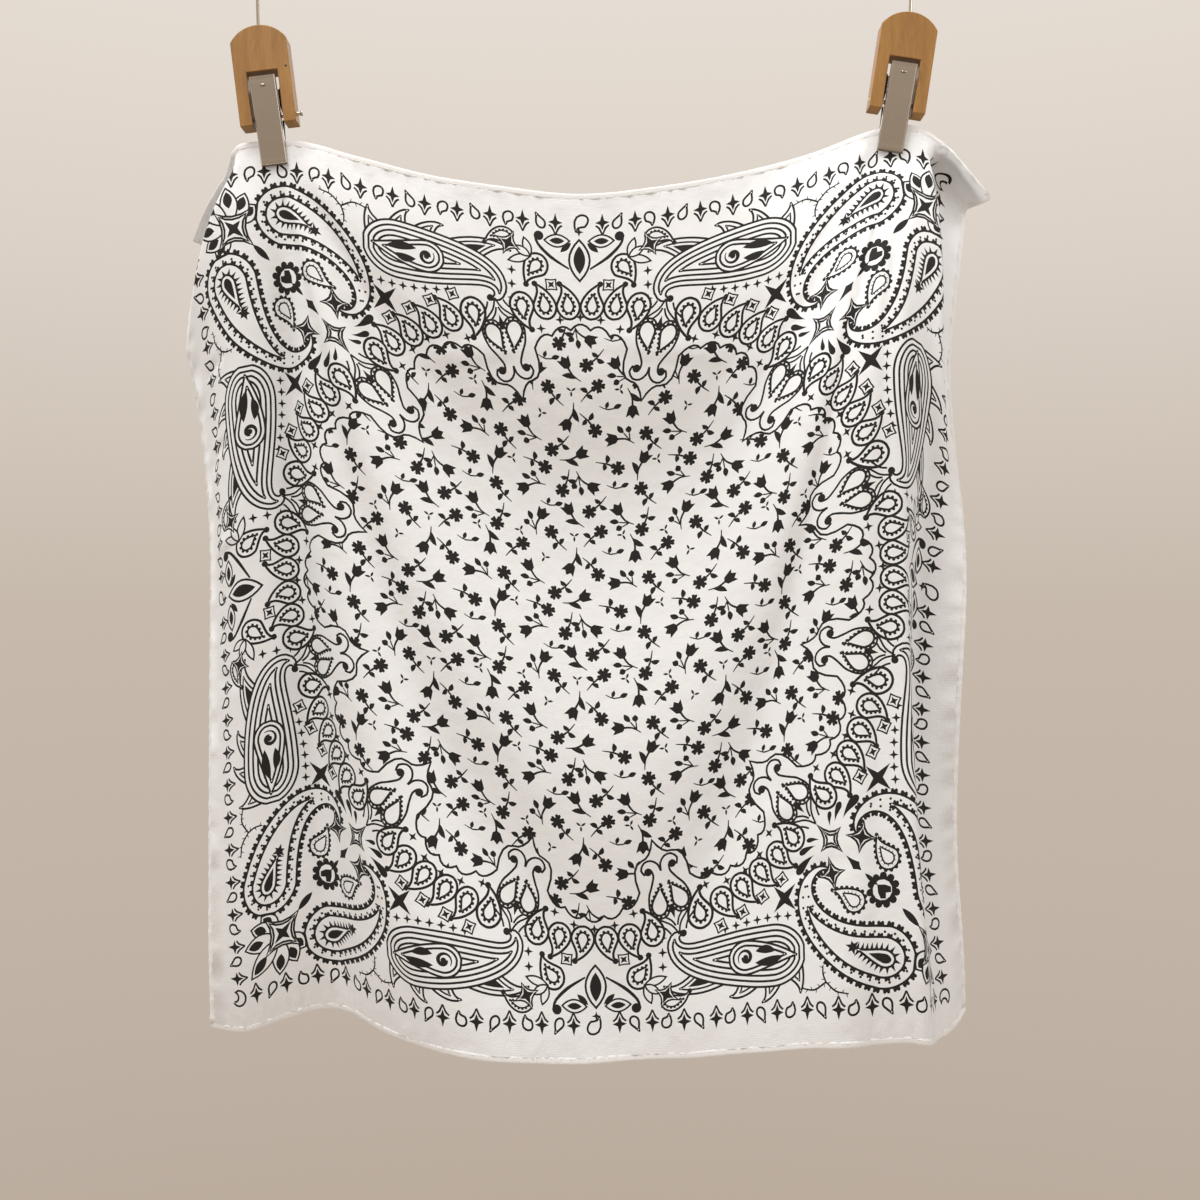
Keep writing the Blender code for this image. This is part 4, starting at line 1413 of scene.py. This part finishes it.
def placed(points, clip):
    """Points (side, away, drop) of a clip's frame, in the hooks' frame."""
    _, across, up, lean, _ = clip
    points = np.asarray(points, float)
    s, c = math.sin(math.radians(lean)), math.cos(math.radians(lean))
    side, away, drop = points.T
    return np.stack([across + side * c + drop * s, away, up + side * s - drop * c], axis=1)


def bar(start, end, radius, sides, rounding=0.0):
    """Rings of a round bar between two points of a clip's frame, its ends rounded off."""
    start, end = np.array(start, float), np.array(end, float)
    length = np.linalg.norm(end - start)
    along = (end - start) / length
    first = np.cross(along, (0.31, 0.59, 0.74))
    first = first / np.linalg.norm(first)
    second = np.cross(along, first)
    turn = circle(sides)
    unit = np.outer(np.cos(turn), first) + np.outer(np.sin(turn), second)
    stops = [(0.0, radius - rounding), (rounding * 0.3, radius - rounding * 0.3), (rounding, radius)]
    stops += [(length - at, r) for at, r in reversed(stops)]
    if not rounding:
        stops = [(0.0, radius), (length, radius)]
    return rings([start + along * at + unit * r for at, r in stops])


def tube(path, radius, sides):
    """A round bar along a smooth path, without twist."""
    path = np.asarray(path, float)
    along = np.gradient(path, axis=0)
    along = along / np.linalg.norm(along, axis=1)[:, None]
    first = np.cross(along[0], (0.31, 0.59, 0.74))
    turn = circle(sides)
    sections = []
    for point, way in zip(path, along):
        first = first - way * first.dot(way)
        first = first / np.linalg.norm(first)
        second = np.cross(way, first)
        sections.append(point + radius * (np.outer(np.cos(turn), first) + np.outer(np.sin(turn), second)))
    return rings(sections)


def bevelled(obj, width, segments=3, angle=32):
    soft = obj.modifiers.new("edges", "BEVEL")
    soft.width = width
    soft.segments = segments
    soft.limit_method = "ANGLE"
    soft.angle_limit = math.radians(angle)
    soft.harden_normals = True
    return obj


def joined(name, parts, materials):
    """One object from several (points, faces, material index) in the hooks' frame."""
    points, faces, used = [], [], []
    count = 0
    for shape_points, shape_faces, index in parts:
        points.append(shape_points)
        faces += [tuple(i + count for i in face) for face in shape_faces]
        used += [index] * len(shape_faces)
        count += len(shape_points)
    obj = mesh_object(name, np.concatenate(points), faces, materials)
    obj.data.polygons.foreach_set("material_index", used)
    return obj


def build_block(clip, finish):
    """The wooden block: an arch on top, a slot between two legs below, and edges just broken."""
    half = BLOCK_WIDTH / 2
    radius = (half**2 + BLOCK_ARCH**2) / (2 * BLOCK_ARCH)
    reach = math.asin(half / radius)
    turns = np.linspace(-reach, reach, 33)
    outline = [(radius * math.sin(turn), radius * (1 - math.cos(turn))) for turn in turns]
    slot = SLOT_WIDTH / 2
    outline += [(half, BLOCK_LENGTH), (slot, BLOCK_LENGTH), (slot, SLOT_TOP)]
    outline += [(-slot, SLOT_TOP), (-slot, BLOCK_LENGTH), (-half, BLOCK_LENGTH)]
    deep = BLOCK_THICK / 2
    points, faces = rings([np.array([(a, at, b) for a, b in outline]) for at in (-deep, deep)])
    obj = face_out(mesh_object("wood_" + clip[0], placed(points, clip), faces, (finish,)))
    return bevelled(obj, BLOCK_BEVEL)


def folded_plate(profile, sign, stops=26):
    """A jaw's plate with its two long edges folded toward the cloth, and the lip at its end turned in."""
    drops, aways = np.array(profile, float).T
    drop = np.linspace(drops[0], drops[-1], stops)
    middle = np.interp(drop, drops, aways)
    middle = np.convolve(np.pad(middle, 2, mode="edge"), np.ones(5) / 5, mode="valid")
    middle[0], middle[-1] = aways[0], aways[-1]
    half = JAW_WIDTH / 2
    sections = []
    for z, away in zip(drop, middle):
        outer = away + JAW_SHEET / 2
        deep = min(JAW_FOLD, max(0.0, outer - 0.0007) - 0.0001)
        r = min(0.0011, deep * 0.6)
        arc = np.linspace(0, math.pi / 2, 5)
        outside = [(-half, -deep)]
        outside += [(-half + r * (1 - math.cos(t)), -r + r * math.sin(t)) for t in arc]
        outside += [(half - r * (1 - math.cos(t)), -r + r * math.sin(t)) for t in arc[::-1]]
        outside += [(half, -deep)]
        thick = min(FOLD_SHEET, deep * 0.8)
        inside = []
        for x, y in reversed(outside):
            inside.append((np.clip(x, -half + thick, half - thick), min(y, -thick)))
        inside[0] = (half - thick, -deep)
        inside[-1] = (-half + thick, -deep)
        sections.append(np.array([(x, sign * (outer + y), z) for x, y in outside + inside]))
    return rings(sections)


def build_jaw(clip, name, profile, sign, finish, lip):
    """A jaw: the folded plate, its ears round the pin, a stamped dimple and a rolled lip that grips."""
    parts = [(*folded_plate(profile, sign), 0)]
    # Ears: rounded tabs from the folds past the pin.
    ear_side = FRONT_EARS if sign < 0 else BACK_EARS
    for side in (-1, 1):
        turn = np.linspace(-0.5 * math.pi, 0.5 * math.pi, 9)
        root = np.interp(PIN_DROP, *np.transpose(profile))
        rim = [(sign * root, PIN_DROP - 2 * EAR_RADIUS)]
        rim += [(-sign * EAR_RADIUS * math.cos(t), PIN_DROP + EAR_RADIUS * math.sin(t)) for t in turn]
        rim += [(sign * (root - 0.0008), PIN_DROP + 0.0056)]
        ear = (side * ear_side, side * (ear_side - EAR_SHEET))
        sections = [np.array([(at, away, drop) for away, drop in rim]) for at in ear]
        parts.append((*rings(sections), 0))
    # The lip: a small roll across the end of the plate, in the second finish, which for the front jaw is a
    # darker colour painted on as shade.
    end_drop, end_away = profile[-1]
    away, drop, half = sign * (end_away + 0.0001), end_drop - 0.0002, JAW_WIDTH / 2 - 0.0002
    roll = bar((-half, away, drop), (half, away, drop), LIP_RADIUS, 12, 0.0002)
    parts.append((*roll, 1))
    # The stamped stop near the plate's top.
    top_drop, top_away = profile[0]
    turn = circle(16)
    stop = []
    for share, height in ((1.0, -0.0003), (0.9, 0.0001), (0.6, 0.0003), (0.2, 0.00036)):
        away = sign * (top_away + JAW_SHEET / 2 + height)
        side, drop = STOP_WIDTH / 2 * np.cos(turn), STOP_HEIGHT / 2 * np.sin(turn)
        ring_at = top_drop + STOP_DROP + share * drop
        stop.append(np.stack([share * side, np.full(len(turn), away), ring_at], axis=1))
    parts.append((*rings(stop), 0))
    placed_parts = [(placed(points, clip), faces, index) for points, faces, index in parts]
    obj = joined(name, placed_parts, (finish, lip))
    obj.data.shade_flat()
    outside = obj.modifiers.new("weld", "WELD")
    outside.merge_threshold = 1e-6
    return obj


def build_pin(clip, finish):
    """The cross pin; its head stands proud of the left clip only."""
    proud = PIN_PROUD[clip[0]]
    start, end = -BLOCK_WIDTH / 2 - 0.0001, BLOCK_WIDTH / 2 + proud
    # The shank, its head and its upset end: from, to, radius as a share of the pin's, rounding.
    lengths = (
        (start, end, 0.86, 0.0003),
        (end - 0.0004, end + 0.0011, 1.05, 0.0004),
        (start - 0.0002, start + 0.0006, 1.0, 0.0002),
    )
    parts = []
    for near, far, share, rounding in lengths:
        points, faces = bar((near, 0, PIN_DROP), (far, 0, PIN_DROP), PIN_RADIUS * share, 20, rounding)
        parts.append((placed(points, clip), faces, 0))
    return joined("pin_" + clip[0], parts, (finish,))


def build_mark(clip, finish):
    """A filled nail hole in the block's face, near its edge."""
    front = -BLOCK_THICK / 2 - 0.00008
    start, end = ((MARK_SIDE, front + deep, MARK_DROP) for deep in (0, MARK_RADIUS))
    points, faces = bar(start, end, MARK_RADIUS, 14, 0.0002)
    return mesh_object("nail_" + clip[0], placed(points, clip), faces, (finish,))


SPRING_WIRE = 0.0006
SPRING_RADIUS = 0.0030
SPRING_TURNS = 3.5
SPRING_PITCH = 0.0018
# The arms past the coil's two ends: how far out and up they have gone, at their tip and at their bend.
START_ARM = ((0.0016, 0.0130), (0.0004, 0.0060))
END_ARM = ((0.0010, 0.0130), (0.0004, 0.0060))


def build_spring(clip, finish):
    """A coil round the pin, with an arm up the inside of each jaw."""
    path = []
    width = SPRING_TURNS * SPRING_PITCH
    for t in np.linspace(0, 1, int(SPRING_TURNS * 24) + 1):
        angle = 2 * math.pi * SPRING_TURNS * t
        side = (t - 0.5) * width
        path.append((side, -SPRING_RADIUS * math.cos(angle), PIN_DROP + SPRING_RADIUS * math.sin(angle)))
    side, away, drop = path[0]
    first = [(side, away - out, drop - up) for out, up in START_ARM]
    side, away, drop = path[-1]
    last = [(side, away + out, drop - up) for out, up in reversed(END_ARM)]
    points, faces = tube(first + path + last, SPRING_WIRE, 10)
    return face_out(mesh_object("spring_" + clip[0], placed(points, clip), faces, (finish,)))


def build_wire(clip, finish):
    """A straight wire out of the block's top that bends into an open hook over the rail line."""
    hook = clip[-1]
    foot = placed([(0, 0, WIRE_IN)], clip)[0]
    mouth = placed([(0, 0, 0)], clip)[0]
    path = [foot, mouth]
    bend = math.radians(70)
    centre = -(HOOK_RADIUS - WIRE_RADIUS)
    low_y = HOOK_RADIUS * math.cos(bend)
    low_z = centre - HOOK_RADIUS * math.sin(bend)
    small = low_y / (1 - math.cos(bend))
    stem_z = low_z - small * math.sin(bend)
    for share in (0.12, 0.30, 0.60):
        aside = (mouth[0] - hook) * (1 - share) ** 2
        path.append((hook + aside, 0.0, mouth[2] + (stem_z - mouth[2]) * share))
    for angle in np.linspace(0, bend, 12):
        path.append((hook, small * (1 - math.cos(angle)), stem_z + small * math.sin(angle)))
    for angle in np.linspace(-bend, math.radians(200), 44)[1:]:
        path.append((hook, HOOK_RADIUS * math.cos(angle), centre + HOOK_RADIUS * math.sin(angle)))
    points, faces = tube(path, WIRE_RADIUS, 18)
    return face_out(mesh_object("wire_" + clip[0], points, faces, (finish,)))


# ---- the room: a plain pale floor, soft light and the camera
EYE = 0.850
HALF_FRAME = 0.3774
# The backdrop's colour up the picture: share of the way from straight down to straight up.
# share, colour
BACKDROP = (
    (0.29, (0.490, 0.408, 0.336)),
    (0.40, (0.540, 0.458, 0.386)),
    (0.50, (0.570, 0.492, 0.420)),
    (0.62, (0.715, 0.640, 0.570)),
    (0.72, (0.800, 0.735, 0.672)),
)

MIDDLE = (0.0, 0.0, CLOTH_FROM_HOOKS[2])
# The soft lights; corner and flap reach the top right corner, which hangs in the others' shade.
# name, at, aimed at, size, watts, colour, spread in degrees
LIGHTS = (
    ("key", (-0.50, -0.55, 1.10), MIDDLE, (0.8, 0.6), 25.0, (1.0, 0.99, 0.98), 180),
    ("right", (1.2, -0.9, 0.0), MIDDLE, (0.9, 1.2), 2.4, (0.97, 0.98, 1.0), 180),
    ("corner", (0.80, -0.34, 0.22), (0.26, 0.0, -0.22), (0.3, 0.3), 1.6, (0.99, 0.99, 1.0), 180),
    ("flap", (-0.34, -0.42, -0.66), (0.248, 0.005, -0.184), (0.1, 0.1), 0.018, (1.0, 0.99, 0.98), 14),
    ("left", (-1.5, -0.4, -0.4), MIDDLE, (0.8, 1.2), 1.2, (0.86, 0.93, 1.0), 180),
    ("rear", (0.2, 1.5, 0.5), MIDDLE, (1.8, 1.2), 7.0, (1.0, 0.97, 0.94), 180),
)
FLOOR_RADIUS = 0.62
FLOOR_SIDES = (-1.24, -1.22)
FLOOR_COLOUR = (0.66, 0.60, 0.54, 1)


def build_world():
    world = bpy.data.worlds.new("room")
    bpy.context.scene.world = world
    world.use_nodes = True
    tree = world.node_tree
    spot = tree.nodes.new("ShaderNodeTexCoord")
    parts = tree.nodes.new("ShaderNodeSeparateXYZ")
    share = tree.nodes.new("ShaderNodeMath")
    share.operation = "MULTIPLY_ADD"
    share.inputs[1].default_value = 0.5
    share.inputs[2].default_value = 0.5
    ramp = tree.nodes.new("ShaderNodeValToRGB")
    for k, (at, colour) in enumerate(BACKDROP):
        elements = ramp.color_ramp.elements
        element = elements[k] if k < 2 else elements.new(at)
        element.position = at
        element.color = (*colour, 1)
    back = tree.nodes["Background"]
    tree.links.new(spot.outputs["Generated"], parts.inputs[0])
    tree.links.new(parts.outputs["Z"], share.inputs[0])
    tree.links.new(share.outputs[0], ramp.inputs["Fac"])
    tree.links.new(ramp.outputs["Color"], back.inputs["Color"])
    back.inputs["Strength"].default_value = 1.0


def build_light(name, at, target, size, power, colour, spread):
    lamp = bpy.data.lights.new(name, "AREA")
    lamp.shape = "RECTANGLE"
    lamp.size, lamp.size_y = size
    lamp.energy = power
    lamp.color = colour
    lamp.spread = math.radians(spread)
    obj = bpy.data.objects.new(name, lamp)
    obj.location = at
    way = mathutils.Vector(target) - mathutils.Vector(at)
    obj.rotation_euler = way.to_track_quat("-Z", "Y").to_euler()
    bpy.context.scene.collection.objects.link(obj)


def build_room():
    build_world()
    for light in LIGHTS:
        build_light(*light)
    turn = circle(96)
    rim = FLOOR_RADIUS * np.cos(turn), FLOOR_RADIUS * np.sin(turn)
    points, faces = rings([np.stack([*rim, np.full(len(turn), z)], axis=1) for z in FLOOR_SIDES])
    nodes = Nodes("floor")
    nodes.rough(nodes.noise(nodes.place(), 9.0, 3.0), 0.75, 0.9)
    nodes.shade(Base_Color=FLOOR_COLOUR)
    face_out(mesh_object("floor", points, faces, (nodes.material,), smoothed=False))
    camera = bpy.data.objects.new("camera", bpy.data.cameras.new("camera"))
    camera.location = (CLOTH_FROM_HOOKS[0], -EYE, CLOTH_FROM_HOOKS[2])
    camera.rotation_euler = (math.pi / 2, 0, 0)
    camera.data.sensor_width = 36.0
    camera.data.lens = 36.0 * EYE / (2 * HALF_FRAME)
    camera.data.clip_start = 0.02
    bpy.context.scene.collection.objects.link(camera)
    bpy.context.scene.camera = camera
    bpy.context.scene.view_settings.view_transform = "Standard"


# ---- everything
def dress(obj, slot, *nodes):
    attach(obj, "root")
    if nodes:
        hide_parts(*nodes)
    return obj


def build():
    sheet = Sheet()
    face, back = build_shells(sheet)
    dress(face, "cloth", "panel")
    dress(back, "cloth", "panel")
    thread = hem_material("thread")
    hem = hem_material("hem_white")
    for name, length, place in SIDES:
        dress(build_hem(sheet, name, length, place, hem), "hem", "hem_" + name)
        dress(build_stitches(sheet, name, length, place, thread), "hem", "hem_" + name)
    wood = wood_material()
    steel = metal_material("steel", STEEL, 0.16, 0.34)
    dark = metal_material("dark_metal", DARK, 0.38, 0.55, 0.6)
    # The front jaws' lips get this darker colour as painted shade.
    lip = metal_material("shaded_lip", LIP_SHADE, 0.42, 0.58)
    jaws = []
    for clip in CLIPS:
        side = clip[0]
        dress(build_block(clip, wood), "wood", "clip_wood_" + side)
        jaws.append(build_jaw(clip, "jaw_front_" + side, FRONT_JAW, -1, steel, lip))
        dress(jaws[-1], "jaw", "clip_jaw_front_" + side)
        jaws.append(build_jaw(clip, "jaw_back_" + side, BACK_JAW, 1, dark, dark))
        dress(jaws[-1], "dark_metal", "clip_jaw_back_" + side)
        dress(build_pin(clip, steel), "wire", "clip_pin_" + side)
        dress(build_spring(clip, dark), "dark_metal", "clip_spring_" + side)
        dress(build_wire(clip, steel), "wire", "clip_wire_" + side)
    dress(build_mark(CLIPS[0], dark), "dark_metal")


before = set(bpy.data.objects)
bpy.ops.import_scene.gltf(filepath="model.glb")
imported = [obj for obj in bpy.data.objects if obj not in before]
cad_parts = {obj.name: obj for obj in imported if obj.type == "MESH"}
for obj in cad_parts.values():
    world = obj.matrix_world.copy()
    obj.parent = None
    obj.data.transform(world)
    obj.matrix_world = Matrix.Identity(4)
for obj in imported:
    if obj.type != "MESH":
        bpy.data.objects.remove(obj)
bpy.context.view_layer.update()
build()
build_room()
